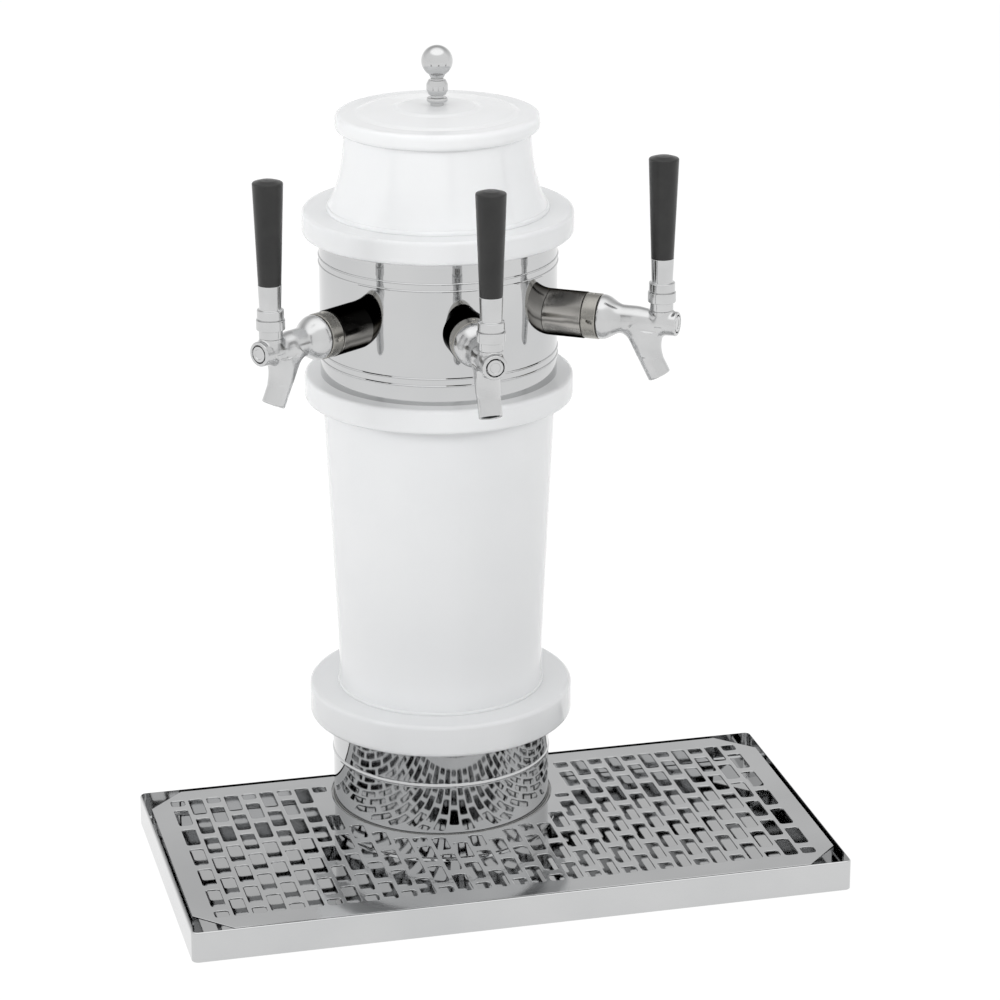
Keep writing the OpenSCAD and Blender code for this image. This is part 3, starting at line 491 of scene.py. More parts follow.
def lathe_mesh(name, points, turns=TURNS, loop=False, sweep=None):
    """Mesh turned about Z from a profile in millimetres, whose outside is on the right as it runs."""
    points = [tuple(p[:2]) for p in points]
    start, end = sweep or (0, 2 * math.pi)
    angles = [start + (end - start) * i / turns for i in range(turns + 1 if sweep else turns)]
    verts, index = lathe_points(points, angles)
    faces, normals = lathe_skin(points, angles, index, turns, loop)
    if sweep:
        end_faces, end_normals = lathe_ends(len(points), angles, index)
        faces += end_faces
        normals += end_normals
    mesh = new_mesh(name, verts, faces)
    shade(mesh)
    mesh.normals_split_custom_set(normals)
    return mesh


def lathe(name, points, matrix=None, turns=TURNS, loop=False, sweep=None):
    return add_object(name, lathe_mesh(name, points, turns, loop, sweep), matrix)


def ring(name, points, steps, matrix=None, turns=TURNS, sweep=None):
    """Turned piece from a closed profile with rounded corners."""
    return lathe(name, rounded(points, steps, loop=True), matrix, turns, True, sweep)


def rod(name, r, start, end, matrix, turns):
    """Plain rod along Z, as a cutter."""
    return lathe(name, [(0, start), (r, start), (r, end), (0, end)], matrix, turns)


def bake(thing):
    """Applies an object's modifiers to its mesh."""
    graph = bpy.context.evaluated_depsgraph_get()
    graph.update()
    mesh = bpy.data.meshes.new_from_object(thing.evaluated_get(graph))
    thing.modifiers.clear()
    thing.data = mesh


def cut_with(thing, cutters):
    """Cuts the closed cutter objects out of the thing and removes them."""
    for cutter in cutters:
        modifier = thing.modifiers.new("cut", "BOOLEAN")
        modifier.operation = "DIFFERENCE"
        modifier.solver = "EXACT"
        modifier.object = cutter
    bpy.context.view_layer.update()
    bake(thing)
    for cutter in cutters:
        bpy.data.objects.remove(cutter)


def round_normals(thing):
    """Gives the turned faces of a mesh about Z the true round normals, also beside cuts."""
    mesh = thing.data
    normals = [Vector(c.vector) for c in mesh.corner_normals]
    for face in mesh.polygons:
        centre = face.center
        outward = Vector((centre.x, centre.y, 0)).normalized()
        facing = face.normal.dot(outward)
        if facing ** 2 + face.normal.z ** 2 < WALL_SHARE:
            continue
        for corner in face.loop_indices:
            place = mesh.vertices[mesh.loops[corner].vertex_index].co
            out = Vector((place.x, place.y, 0)).normalized()
            normals[corner] = (out * facing + Vector((0, 0, face.normal.z))).normalized()
    mesh.normals_split_custom_set([tuple(n) for n in normals])


def wear(thing, node, slot_name, m, finish=None):
    """Sets a piece on its body in place of a CAD node, in its slot's material or another finish."""
    body = frame["nodes"][node]["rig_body"]
    thing.data.materials.clear()
    thing.data.materials.append(m[finish or slot_name])
    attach(thing, body)
    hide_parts(node)


# Column

TOUCH = 0.03
STEEL_T = 2.0
NECK_FOOT_H = 8.0
FOOT_EDGE = 0.25
FOOT_STRAIGHT = 0.3
BEAD_Z = 75.5
BEAD_OUT = 1.6
BEAD_R = 3.1
BEAD_SUNK = 2.2
FLARE = 1.4
FLARE_H = 33.0
BORE_R = 84.0
SHELL_T = 7.0


def bead(r, z, size, steps=7, sunk=0.0):
    """Round bead whose centre is sunk below radius r, walked upwards."""
    end = math.acos(sunk / size)
    return [(r - sunk + out, z + up) for out, up in arc(size, -end, end, steps + 1)]


def foot_bead(r, z, out, height, steps=8):
    """Quarter-round step at the foot of a wall of radius r, walked upwards."""
    straight = FOOT_STRAIGHT * height
    quarter = arc(1, 0, math.pi / 2, steps + 1)
    return [(r + out - FOOT_EDGE, z), (r + out, z + FOOT_EDGE)] + [
        (r + out * x, z + straight + (height - straight) * y) for x, y in quarter]


def neck_radius():
    return half_width("base_neck") - BEAD_OUT


def make_neck(m):
    base, top = heights("base_neck")
    r = neck_radius()
    inner = r - STEEL_T
    foot_z = base + NECK_FOOT_H
    points = [(BORE_R, foot_z), (inner, foot_z), (inner, base), (r, base, 0.5)]
    points += bead(r, BEAD_Z, BEAD_R, 9, BEAD_SUNK)
    points += [(r + FLARE * t, top + FLARE_H * (t - 1)) for t in (0, 0.5, 1)]
    points += [(BORE_R, top), (BORE_R, top - STEEL_T), (inner, top - STEEL_T),
               (inner, foot_z + STEEL_T), (BORE_R, foot_z + STEEL_T)]
    wear(ring("neck_shell", points, 6), "base_neck", "polished_steel", m)


FLANGE_ROUND = 4.0


def make_flanges(m):
    for node in ("foot_flange", "shoulder_flange", "upper_flange"):
        z0, z1 = heights(node)
        r = half_width(node)
        points = [(BORE_R, z0), (r, z0, FLANGE_ROUND), (r, z1, FLANGE_ROUND), (BORE_R, z1)]
        wear(ring(node + "_shell", points, 10), node, "white_paint", m)


BODY_FOOT_R = 93.4
BODY_STRAIGHT = 24.0
BODY_BLEND = 30.0
BODY_BEAD_OUT = 1.4
BODY_BEAD_H = 2.8
BODY_INSIDE_RISE = 3.0


def body_radius(height, total, top_r):
    """Radius of the body: straight at the foot, easing into a straight taper."""
    slope = (top_r - BODY_FOOT_R) / (total - BODY_STRAIGHT - BODY_BLEND / 2)
    if height <= BODY_STRAIGHT:
        return BODY_FOOT_R
    if height <= BODY_STRAIGHT + BODY_BLEND:
        return BODY_FOOT_R + slope * (height - BODY_STRAIGHT) ** 2 / (2 * BODY_BLEND)
    return BODY_FOOT_R + slope * (height - BODY_STRAIGHT - BODY_BLEND / 2)


def make_body(m):
    z0, z1 = high("foot_flange") + TOUCH, low("shoulder_flange") - TOUCH
    total, top_r = z1 - z0, half_width("column_body")
    rises = [BODY_STRAIGHT + BODY_BLEND * k / 12 for k in range(13)]
    taper = total - BODY_STRAIGHT - BODY_BLEND
    rises += [BODY_STRAIGHT + BODY_BLEND + taper * k / 8 for k in range(1, 9)]
    outside = foot_bead(BODY_FOOT_R, z0, BODY_BEAD_OUT, BODY_BEAD_H)
    outside += [(body_radius(h, total, top_r), z0 + h) for h in rises]
    inside = [(r - SHELL_T, z) for r, z in outside[::-1] if z > z0 + BODY_INSIDE_RISE]
    inside += [(BODY_FOOT_R - SHELL_T, z0)]
    wear(lathe("body_shell", outside + inside, loop=True), "column_body", "white_paint", m)


RIDGE_R = 0.9
RIDGE_LOW_EDGE = 17.2
RIDGE_TOP_EDGE = 19.0
RIDGE_PITCH = 6.5
BAND_LIP_R = 92.0
SHANK_R = 11.0
GAP = 0.3
SHANK_HOLE = (80.0, 120.0)


def make_band(m):
    z0, z1 = heights("faucet_band")
    foot, roof = high("shoulder_flange") + TOUCH, low("upper_flange") - TOUCH
    r = band_radius()
    points = [(r - STEEL_T, foot), (r, foot)]
    for h in (RIDGE_LOW_EDGE, RIDGE_LOW_EDGE + RIDGE_PITCH):
        points += bead(r, z0 + h, RIDGE_R, 5)
    for h in (RIDGE_TOP_EDGE + RIDGE_PITCH, RIDGE_TOP_EDGE):
        points += bead(r, z1 - h, RIDGE_R, 5)
    points += [(r, roof), (BAND_LIP_R, roof), (BAND_LIP_R, z1 - STEEL_T), (r - STEEL_T, z1 - STEEL_T)]
    piece = ring("band_shell", points, 4, turns=180)
    cutters = []
    for side in SIDES:
        cutters.append(rod("hole_" + side, SHANK_R + GAP, *SHANK_HOLE, on_column(side), 48))
    cut_with(piece, cutters)
    round_normals(piece)
    wear(piece, "faucet_band", "polished_steel", m)


DOME_SHARES = ((0, 0), (0.20, 0.08), (0.38, 0.17), (0.54, 0.28),
               (0.71, 0.42), (0.86, 0.60), (0.95, 0.80), (1, 1))
DOME_TOP_R = 82.5
DOME_T = 6.0
DOME_BEAD_OUT = 2.0
DOME_BEAD_H = 4.0


def smooth_through(points, steps):
    """Catmull-Rom curve through the points."""
    ends = [tuple(2 * a - b for a, b in zip(points[0], points[1])),
            tuple(2 * a - b for a, b in zip(points[-1], points[-2]))]
    p = [Vector(v) for v in (ends[0], *points, ends[1])]
    out = []
    for i in range(1, len(p) - 2):
        for k in range(steps):
            t = k / steps
            out.append(tuple(0.5 * (2 * p[i] + (p[i + 1] - p[i - 1]) * t
                                    + (2 * p[i - 1] - 5 * p[i] + 4 * p[i + 1] - p[i + 2]) * t ** 2
                                    + (3 * p[i] - p[i - 1] - 3 * p[i + 1] + p[i + 2]) * t ** 3)))
    return out + [tuple(p[-2])]


def make_dome(m):
    z0, z1 = high("upper_flange") + TOUCH, high("dome")
    foot_r = half_width("dome") - DOME_BEAD_OUT
    rise = z1 - z0 - DOME_BEAD_H
    wall = [(foot_r - (foot_r - DOME_TOP_R) * s, z0 + DOME_BEAD_H + rise * t) for s, t in DOME_SHARES]
    outside = foot_bead(foot_r, z0, DOME_BEAD_OUT, DOME_BEAD_H)[:-1] + smooth_through(wall, 4)
    inside = [(r - DOME_T, z) for r, z in smooth_through(wall, 2)[::-1]] + [(foot_r - DOME_T, z0)]
    wear(lathe("dome_shell", outside + inside, loop=True), "dome", "white_paint", m)


LID_ROUND = 5.5
LID_SHELL_T = 8.0
LID_STEP_H = 1.6
LID_STEPS_R = (73.5, 41.0)
LID_DROP = 0.8
LID_CONES = (2.2, 0.8)
LID_SLOPE = 8.0
STUD_R = 4.0


def make_lid(m):
    r = half_width("lid")
    base = high("dome") + TOUCH
    rim_top = high("lid") - 2 * LID_STEP_H - LID_DROP
    spigot = DOME_TOP_R - DOME_T - GAP
    hole = STUD_R + GAP
    points = [(hole, rim_top - LID_SHELL_T), (spigot - DOME_T, rim_top - LID_SHELL_T, 2),
              (spigot - DOME_T, low("lid")), (spigot, low("lid")), (spigot, base),
              (r, base, LID_ROUND), (r, rim_top, LID_ROUND)]
    z = rim_top
    shares = np.linspace(0, 1, 9)
    for step_r, cone in zip(LID_STEPS_R, LID_CONES):
        points += [(step_r - LID_SLOPE * t, z + LID_STEP_H * t * t * (3 - 2 * t)) for t in shares]
        z += LID_STEP_H + cone
    points += [(hole, z)]
    wear(ring("lid_shell", points, 8), "lid", "white_paint", m)


BALL_R = 13.8
BALL_NECK_R = 7.4
FINIAL_PROFILE = (
    (0, 0), (6, 0), (6, 5.2, 0.6), (9.3, 5.2, 1.6), (9.3, 9.2, 1.6), (5.6, 9.2, 0.6), (5.6, 11.6, 0.6),
    (7.6, 11.6, 1.2), (9.5, 15.4, 5), (9.5, 21.0, 5), (7.6, 24.8, 1.2), (5.6, 24.8, 0.6), (5.6, 26.4, 0.4))


def make_finial(m):
    base, top = heights("finial")
    ball_z = top - BALL_R
    neck_angle = -math.acos(BALL_NECK_R / BALL_R)
    ball = [(r, ball_z + z) for r, z in arc(BALL_R, neck_angle, math.pi / 2, 40)]
    ball[-1] = (0, top)
    points = [(r, base + height, *corner) for r, height, *corner in FINIAL_PROFILE]
    wear(lathe("finial_knob", rounded(points, 7) + ball, turns=64), "finial", "chrome", m)


# Taps: each is made about its own axis and then carried to its place on the band

PIVOT_RISE = 12.0
BODY_BACK = 55.0
NUT_L = 13.1
NUT_R = 20.2
NUT_BACK_T = 3.0
SPIGOT_R = 15.3
COLLAR_R = 20.6
COLLAR_SUNK = 9.0
PIN_HOLE_R = 1.7
PIN_HOLE_L = 4.2
PIN_HOLE_OVER = 3.0
NUT_CREASE = math.radians(35)


def band_radius():
    return half_width("faucet_band") - RIDGE_R


def tap_height():
    return sum(heights("front_caps")) / 2


def tap_place(side):
    """Turn of a tap about the column, and its handle's distance from the column's axis in millimetres."""
    lo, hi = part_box("handle_" + side)
    centre = (lo + hi) / 2
    return math.atan2(centre.x, -centre.y), math.hypot(centre.x, centre.y) / MM


def on_column(side):
    """From Z along a turned piece to outward along a tap, from the column's axis."""
    turn, _ = tap_place(side)
    return (Matrix.Translation((0, 0, tap_height() * MM)) @ Matrix.Rotation(turn - math.pi / 2, 4, "Z")
            @ Matrix.Rotation(math.pi / 2, 4, "Y"))


def at_faucet(side, rise=0.0):
    """From a faucet's own frame, X outward and the origin on its handle's axis, to the object's frame."""
    turn, reach = tap_place(side)
    place = (reach * math.sin(turn) * MM, -reach * math.cos(turn) * MM, (tap_height() + rise) * MM)
    return Matrix.Translation(place) @ Matrix.Rotation(turn - math.pi / 2, 4, "Z")


def along_faucet(side):
    return at_faucet(side) @ Matrix.Rotation(math.pi / 2, 4, "Y")


def make_collar(side, m):
    """Collar whose inner end follows the band's round wall."""
    reach = tap_place(side)[1]
    front = reach - BODY_BACK - NUT_L - 2 * GAP
    back = band_radius() + GAP
    bore = SHANK_R + GAP
    sunk = back - COLLAR_SUNK
    points = [(bore, sunk), (COLLAR_R, sunk), (COLLAR_R, front, 0.8), (bore, front)]
    piece = ring("collar_" + side, points, 5, on_column(side), 96)
    for vertex in piece.data.vertices:
        if vertex.co.z / MM < sunk + 1:
            vertex.co.z = math.sqrt((back * MM) ** 2 - vertex.co.y ** 2)
    # The collar's colour is painted reflection: painted shade above and below, painted highlights between
    wear(piece, "shank_collar_" + side, "dark_nickel", m, "dark_nickel_" + side)


def make_nut(side, m):
    front = -BODY_BACK - GAP
    back = front - NUT_L
    bore = SHANK_R + GAP
    points = [(bore, back), (NUT_R, back, 0.9), (NUT_R, front, 0.9), (SPIGOT_R + GAP, front),
              (SPIGOT_R + GAP, back + NUT_BACK_T), (bore, back + NUT_BACK_T)]
    piece = ring("nut_" + side, points, 4, along_faucet(side), 96)
    cutters = []
    for k in range(4):
        turn = Matrix.Rotation(k * math.pi / 2, 4, "X")
        turn = turn @ Matrix.Translation(((back + NUT_L / 2) * MM, 0, 0))
        cutters.append(rod("pin_hole", PIN_HOLE_R, NUT_R - PIN_HOLE_L, NUT_R + PIN_HOLE_OVER,
                           at_faucet(side) @ turn, 20))
    cut_with(piece, cutters)
    shade(piece.data)
    piece.data.set_sharp_from_angle(angle=NUT_CREASE)
    wear(piece, "coupling_nut_" + side, "chrome", m, "nut_nickel")


# The faucet's casting, as one smooth distance field in its own frame, in millimetres

BELL_R = 19.8
BELL_RIM = 1.4
BELL_L = 15.0
BELL_BLEND = 7.0
BARREL_R = 12.5
BOSS_R = 10.8
BOSS_FRONT = 15.0
BOSS_BLEND = (-24.0, -8.0)
CAP_R = 7.0
CAP_T = 4.2
CAP_GROOVE = 0.9
BONNET_SEAT_R = 10.0
BONNET_SEAT_TOP = 11.8
SPOUT_R = 10.3
SPOUT_DROP = 48.7
SPOUT_BACK = 0.9
SPOUT_LEAN = math.radians(28)
SPOUT_BORE_R = 8.2
SPOUT_BORE_L = 42.0
SPOUT_BLEND = 6.0
BORE_EDGE = 0.8
PORT_R = 4.6
PORT_L = 10.0
WEB_X = -9.8
WEB_Z = (-27.0, -8.0)
WEB_LOW_R = 8.4
WEB_WIDENS = 3.0
WEB_BLEND = 6.0
SEAT_BLEND = 3.0
SPIGOT_LAP = 1.0
SPIGOT_SHORT = 6.6
CAP_SEAT = 1.0
VALVE_R = 6.0
CHAMBER_R = 9.4
CHAMBER_L = 5.5
SOCKET_R = 7.8
SOCKET_Z = 6.1
THROAT_R = 6.2
CAST_EDGE = 1.6
CAST_LOWS = (-63.5, -21.5, -56.0)
CAST_HIGHS = (17.0, 21.5, 21.5)
FIELD_STEP = 1.0


def soft_min(a, b, k):
    h = np.clip(0.5 + 0.5 * (b - a) / k, 0, 1)
    return b * (1 - h) + a * h - k * h * (1 - h)


def soft_max(a, b, k):
    return -soft_min(-a, -b, k)


def ease(x, start, end):
    t = np.clip((x - start) / (end - start), 0, 1)
    return t * t * (3 - 2 * t)


def in_spout(x, y, z):
    """Distance along the leaning spout from its mouth, and from its axis."""
    tx, tz = x + SPOUT_BACK, z + SPOUT_DROP
    along = -tx * math.sin(SPOUT_LEAN) + tz * math.cos(SPOUT_LEAN)
    return along, np.hypot(tx * math.cos(SPOUT_LEAN) + tz * math.sin(SPOUT_LEAN), y)


def faucet_outside(x, y, z):
    """Barrel, bell, bonnet seat, spout, web and spigot, blended into each other."""
    around, upright = np.hypot(y, z), np.hypot(x, y)
    along, across = in_spout(x, y, z)
    radius = BARREL_R + (BOSS_R - BARREL_R) * ease(x, *BOSS_BLEND)
    body = soft_max(around - radius, x - BOSS_FRONT, CAST_EDGE)
    ahead = np.maximum(x + BODY_BACK - BELL_RIM, 0)
    bell = (np.hypot(around / BELL_R, ahead / BELL_L) - 1) * BELL_L
    body = soft_max(soft_min(body, bell, BELL_BLEND), -x - BODY_BACK, CAST_EDGE)
    seat = np.maximum(upright - BONNET_SEAT_R, np.maximum(z - BONNET_SEAT_TOP, -z))
    body = soft_min(body, seat, SEAT_BLEND)
    spout = soft_max(across - SPOUT_R, -along, CAST_EDGE)
    spout = np.maximum(spout, along - SPOUT_DROP)
    foot, top = WEB_Z
    web_r = WEB_LOW_R + WEB_WIDENS * (z - foot) / (top - foot)
    web = np.maximum(np.hypot(x - WEB_X, y) - web_r, np.maximum(z - top, foot - z))
    shape = soft_min(soft_min(body, spout, SPOUT_BLEND), web, WEB_BLEND)
    spigot_end = -x - BODY_BACK - NUT_L - GAP + SPIGOT_SHORT
    spigot = np.maximum(around - SPIGOT_R, np.maximum(x + BODY_BACK - SPIGOT_LAP, spigot_end))
    return np.minimum(shape, spigot)


def faucet_field(x, y, z):
    """Negative inside the casting: its outside, less its bores."""
    around, upright = np.hypot(y, z), np.hypot(x, y)
    along, across = in_spout(x, y, z)
    bore = np.maximum(across - SPOUT_BORE_R, along - SPOUT_BORE_L)
    port = np.maximum(across - PORT_R, along - SPOUT_BORE_L - PORT_L)
    cap = np.maximum(around - CAP_R - CAP_GROOVE, BOSS_FRONT - CAP_T - CAP_SEAT - x)
    valve = np.maximum(around - VALVE_R, x - BOSS_FRONT + CAP_T)
    chamber = np.maximum(around - CHAMBER_R, x + BODY_BACK - CHAMBER_L)
    socket = np.maximum(upright - SOCKET_R, SOCKET_Z - z)
    throat = np.maximum(upright - THROAT_R, -z)
    shape = soft_max(faucet_outside(x, y, z), -bore, BORE_EDGE)
    for hollow in (port, cap, valve, chamber, socket, throat):
        shape = np.maximum(shape, -hollow)
    return shape


def field_gradient(field, p, reach=0.05):
    steps = np.eye(3) * reach
    return np.stack([(field(*(p + s).T) - field(*(p - s).T)) / (2 * reach) for s in steps], 1)


def net_points(values, cells):
    """Sum of the places, in cells, where the edges of each cell cross zero, and how many do."""
    total, count = np.zeros(cells + (3,)), np.zeros(cells)

    def at(corner):
        return values[tuple(slice(c, c + n) for c, n in zip(corner, cells))]

    for corner in np.ndindex(2, 2, 2):
        for axis in range(3):
            if corner[axis]:
                continue
            a, b = at(corner), at(tuple(c + (i == axis) for i, c in enumerate(corner)))
            crossed = (a < 0) != (b < 0)
            share = np.where(crossed, a / np.where(crossed, a - b, 1), 0)
            place = np.array(corner, float) + share[..., None] * np.eye(3)[axis]
            total += place * crossed[..., None]
            count += crossed
    return total, count


def net_faces(inside, number):
    """A quad of cell numbers round each grid edge between the inside and the outside."""
    faces = []
    cells = number.shape
    for axis in range(3):
        i, j = (axis + 1) % 3, (axis + 2) % 3
        a = np.take(inside, range(inside.shape[axis] - 1), axis)
        b = np.take(inside, range(1, inside.shape[axis]), axis)
        for edges, way in ((a & ~b, 1), (~a & b, -1)):
            where = np.stack(np.nonzero(edges), 1)
            where = where[(where[:, i] > 0) & (where[:, j] > 0)]
            where = where[(where[:, i] < cells[i]) & (where[:, j] < cells[j])]
            quad = []
            for di, dj in ((0, 0), (1, 0), (1, 1), (0, 1)):
                cell = where.copy()
                cell[:, i] -= di
                cell[:, j] -= dj
                quad.append(number[tuple(cell.T)])
            faces.append(np.stack(quad, 1)[:, ::way])
    return np.concatenate(faces).tolist()


SETTLE_ROUNDS = 4
SETTLE_REACH = 0.6
LEAST_SLOPE = 0.05


def net_mesh(name, field, lows, highs, step):
    """Quad mesh of the surface where the field is zero, drawn exactly onto it."""
    axes = [np.arange(a, b + step, step) for a, b in zip(lows, highs)]
    values = field(*np.meshgrid(*axes, indexing="ij"))
    cells = tuple(n - 1 for n in values.shape)
    total, count = net_points(values, cells)
    active = count > 0
    number = np.full(cells, -1)
    number[active] = np.arange(active.sum())
    base = np.stack(np.nonzero(active), 1)
    points = (base + total[active] / count[active][:, None]) * step + np.array([a[0] for a in axes])
    for _ in range(SETTLE_ROUNDS):
        slope = field_gradient(field, points)
        size = np.maximum((slope ** 2).sum(1), LEAST_SLOPE)
        move = -(field(*points.T) / size)[:, None] * slope
        points += np.clip(move, -SETTLE_REACH * step, SETTLE_REACH * step)
    mesh = new_mesh(name, points.tolist(), net_faces(values < 0, number))
    shade(mesh)
    slope = field_gradient(field, points)
    slope /= np.maximum(np.linalg.norm(slope, axis=1), 1e-6)[:, None]
    mesh.normals_split_custom_set_from_vertices(slope.tolist())
    return mesh


def make_faucets(m):
    """All three castings share one mesh."""
    mesh = net_mesh("faucet_casting", faucet_field, CAST_LOWS, CAST_HIGHS, FIELD_STEP)
    for side in SIDES:
        piece = add_object("faucet_" + side, mesh, at_faucet(side))
        wear(piece, "faucet_body_" + side, "chrome", m, "cast_chrome")


CAP_BACK = 0.8
CAP_PROUD = 0.2
CAP_DISH = 0.7
CAP_RIM_R = 4.6
CAP_DISH_R = 4.2


def make_caps(m):
    """Screwed caps in the front bosses, one mesh for the three."""
    start = BOSS_FRONT - CAP_T - CAP_BACK
    face = BOSS_FRONT + CAP_PROUD
    points = [(0, start), (CAP_R, start), (CAP_R, face, 0.9), (CAP_RIM_R, face, 0.4),
              (CAP_DISH_R, face - CAP_DISH, 0.4), (0, face - CAP_DISH)]
    mesh = lathe_mesh("front_cap", rounded(points, 5), 64)
    for side in SIDES:
        piece = add_object("cap_" + side, mesh, along_faucet(side))
        wear(piece, "front_caps", "chrome", m)


BONNET_R = 10.2
BONNET_RIM = 7.0
BONNET_CAVITY_R = 7.4
BONNET_THROAT_H = 4.0
BONNET_MOUTH_R = 8.6
BONNET_RIM_TURN = math.radians(3)
BONNET_SPHERE_R = math.hypot(BONNET_R, BONNET_RIM)


def make_bonnet(side, m):
    foot = BONNET_SEAT_TOP - PIVOT_RISE
    mouth_h = math.sqrt(BONNET_SPHERE_R ** 2 - BONNET_MOUTH_R ** 2)
    throat_r = math.sqrt(BONNET_CAVITY_R ** 2 - BONNET_THROAT_H ** 2)
    outside = [(BONNET_CAVITY_R, foot), (BONNET_R, foot, 0.6), (BONNET_R, BONNET_RIM, 0.8)]
    rim_angle = math.atan2(BONNET_RIM, BONNET_R) + BONNET_RIM_TURN
    outside += arc(BONNET_SPHERE_R, rim_angle, math.atan2(mouth_h, BONNET_MOUTH_R), 4)
    inside = [(throat_r, BONNET_THROAT_H + 1, 0.4), (throat_r, BONNET_THROAT_H)]
    inside += arc(BONNET_CAVITY_R, math.asin(BONNET_THROAT_H / BONNET_CAVITY_R), 0, 8)[1:]
    piece = ring("bonnet_ring_" + side, outside + inside, 4, at_faucet(side, PIVOT_RISE), 64)
    wear(piece, "bonnet_" + side, "chrome", m)


PIVOT_BALL_R = 7.0
FINGER_R = 1.8
FINGER_BALL_R = 2.8
STEM_R = 3.2
SKIRT_R = 12.4
SKIRT_TOP = 16.2
FERRULE_L = 30.3
RING_R = 11.5
RING_H = 8.6
STEM_IN_HANDLE = 14.0
STEM_GAP = 0.06
SKIRT_CLEAR = 0.5


def make_lever(side, m):
    """Finger, ball, stem and skirt of the lever, turned about the handle's axis from the pivot."""
    socket = BONNET_SPHERE_R + SKIRT_CLEAR
    foot = BONNET_RIM + GAP
    tip = arc(FINGER_BALL_R, -math.pi / 2, math.acos(FINGER_R / FINGER_BALL_R), 10)
    tip = [(r, z - PIVOT_RISE) for r, z in tip]
    tip[0] = (0, tip[0][1])
    ball = arc(PIVOT_BALL_R, -math.acos(FINGER_R / PIVOT_BALL_R), math.acos(STEM_R / PIVOT_BALL_R), 22)
    cup = arc(socket, math.acos(STEM_R / socket), math.asin(foot / socket), 10)
    stem_top = SKIRT_TOP + FERRULE_L + STEM_IN_HANDLE
    edge = [(SKIRT_R, foot, 1.2), (SKIRT_R, SKIRT_TOP, 2.2), (RING_R - 1, SKIRT_TOP, 0.3),
            (STEM_R, SKIRT_TOP), (STEM_R, stem_top), (0, stem_top)]
    points = tip + ball + cup + edge
    piece = lathe("lever_part_" + side, rounded(points, 7), at_faucet(side, PIVOT_RISE), 64)
    wear(piece, "lever_" + side, "chrome", m)


def make_ferrule(side, m):
    base = SKIRT_TOP
    hole = STEM_R + STEM_GAP
    points = [(hole, base), (RING_R - 1, base), (RING_R - 1, base + 0.5), (RING_R, base + 0.9, 1.4),
              (RING_R, base + RING_H, 2.2), (9.6, base + RING_H + 0.4, 0.8), (9.35, base + RING_H + 1.6, 1),
              (10.2, base + FERRULE_L, 0.4), (hole, base + FERRULE_L)]
    piece = ring("ferrule_part_" + side, points, 6, at_faucet(side, PIVOT_RISE), 64)
    wear(piece, "ferrule_" + side, "chrome", m)


HANDLE_LOW_R = 9.9
CROWN_H = 2.5


def make_handle(side, m):
    base, top = (z - tap_height() - PIVOT_RISE for z in heights("handle_" + side))
    top_r = half_width("handle_" + side)
    hole = STEM_R + STEM_GAP
    points = [(0, base + STEM_IN_HANDLE), (hole, base + STEM_IN_HANDLE), (hole, base),
              (HANDLE_LOW_R, base, 0.7), (top_r, top - CROWN_H, 1.6), (top_r * 0.5, top - 0.5, 8), (0, top)]
    piece = lathe("handle_grip_" + side, rounded(points, 8), at_faucet(side, PIVOT_RISE), 64)
    wear(piece, "handle_" + side, "black_plastic", m)


# Drip tray

TRAY_T = 1.5
TRAY_CORNER = 6.0
TRAY_FLOOR = 3.0
RIM_ROLL = 2.2
NOTCH_GAP = 2.3
CORNER_STEPS = 8
CORNER_LEAST_R = 1.2
NOTCH_STEPS = 72
NOTCH_EDGE = 0.4


def plan(node):
    """A CAD node's lowest x and y and its highest x and y, in millimetres."""
    lo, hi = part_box(node)
    return lo.x / MM, lo.y / MM, hi.x / MM, hi.y / MM


def round_corners(x0, y0, x1, y1, r, steps):
    """Corners of a rounded rectangle, anticlockwise from the one at x1, y1."""
    out = []
    quarter = math.pi / 2
    centres = ((x1 - r, y1 - r), (x0 + r, y1 - r), (x0 + r, y0 + r), (x1 - r, y0 + r))
    for k, (cx, cy) in enumerate(centres):
        out += [(cx + x, cy + y) for x, y in arc(r, k * quarter, (k + 1) * quarter, steps + 1)]
    return out


def notch_arc(r, back):
    """Round notch about the column, from its right end at y = back to its left end."""
    half = math.asin(back / r)
    return arc(r, half, -math.pi - half, NOTCH_STEPS + 1)


def tray_loop(inset, notch_r):
    """The tray's outline drawn in by a distance, anticlockwise: before, in and after its notch."""
    x0, y0, x1, y1 = plan("tray_pan")
    y1 -= inset
    r = max(TRAY_CORNER - inset, CORNER_LEAST_R)
    out = round_corners(x0 + inset, y0 + inset, x1 - inset, y1, r, CORNER_STEPS)
    notch = notch_arc(notch_r, y1)
    first = CORNER_STEPS + 1
    before = out[:first] + [(notch[0][0] + NOTCH_EDGE, y1)]
    return before, notch, [(notch[-1][0] - NOTCH_EDGE, y1)] + out[first:]


def loops_mesh(name, rings):
    """Closed skin through a stack of outline loops that ends where it starts."""
    n = len(rings[0])
    verts = [v for level in rings for v in level]
    faces = []
    count = len(rings)
    for i in range(count - 1):
        for j in range(n):
            k = (j + 1) % n
            faces.append((i * n + j, i * n + k, (i + 1) * n + k, (i + 1) * n + j))
    faces.append(tuple(range(n))[::-1])
    faces.append(tuple(range((count - 1) * n, count * n)))
    return new_mesh(name, verts, faces)


FLAT_CREASE = math.radians(30)


def flat_smooth(thing):
    """Smooth shading that keeps flat faces flat."""
    shade(thing.data)
    thing.data.set_sharp_from_angle(angle=FLAT_CREASE)
    modifier = thing.modifiers.new("weigh", "WEIGHTED_NORMAL")
    modifier.keep_sharp = True
    modifier.weight = 100
    bake(thing)


PAN_EDGE = 0.3
FLOOR_FOLD = (2.4, 0.7)


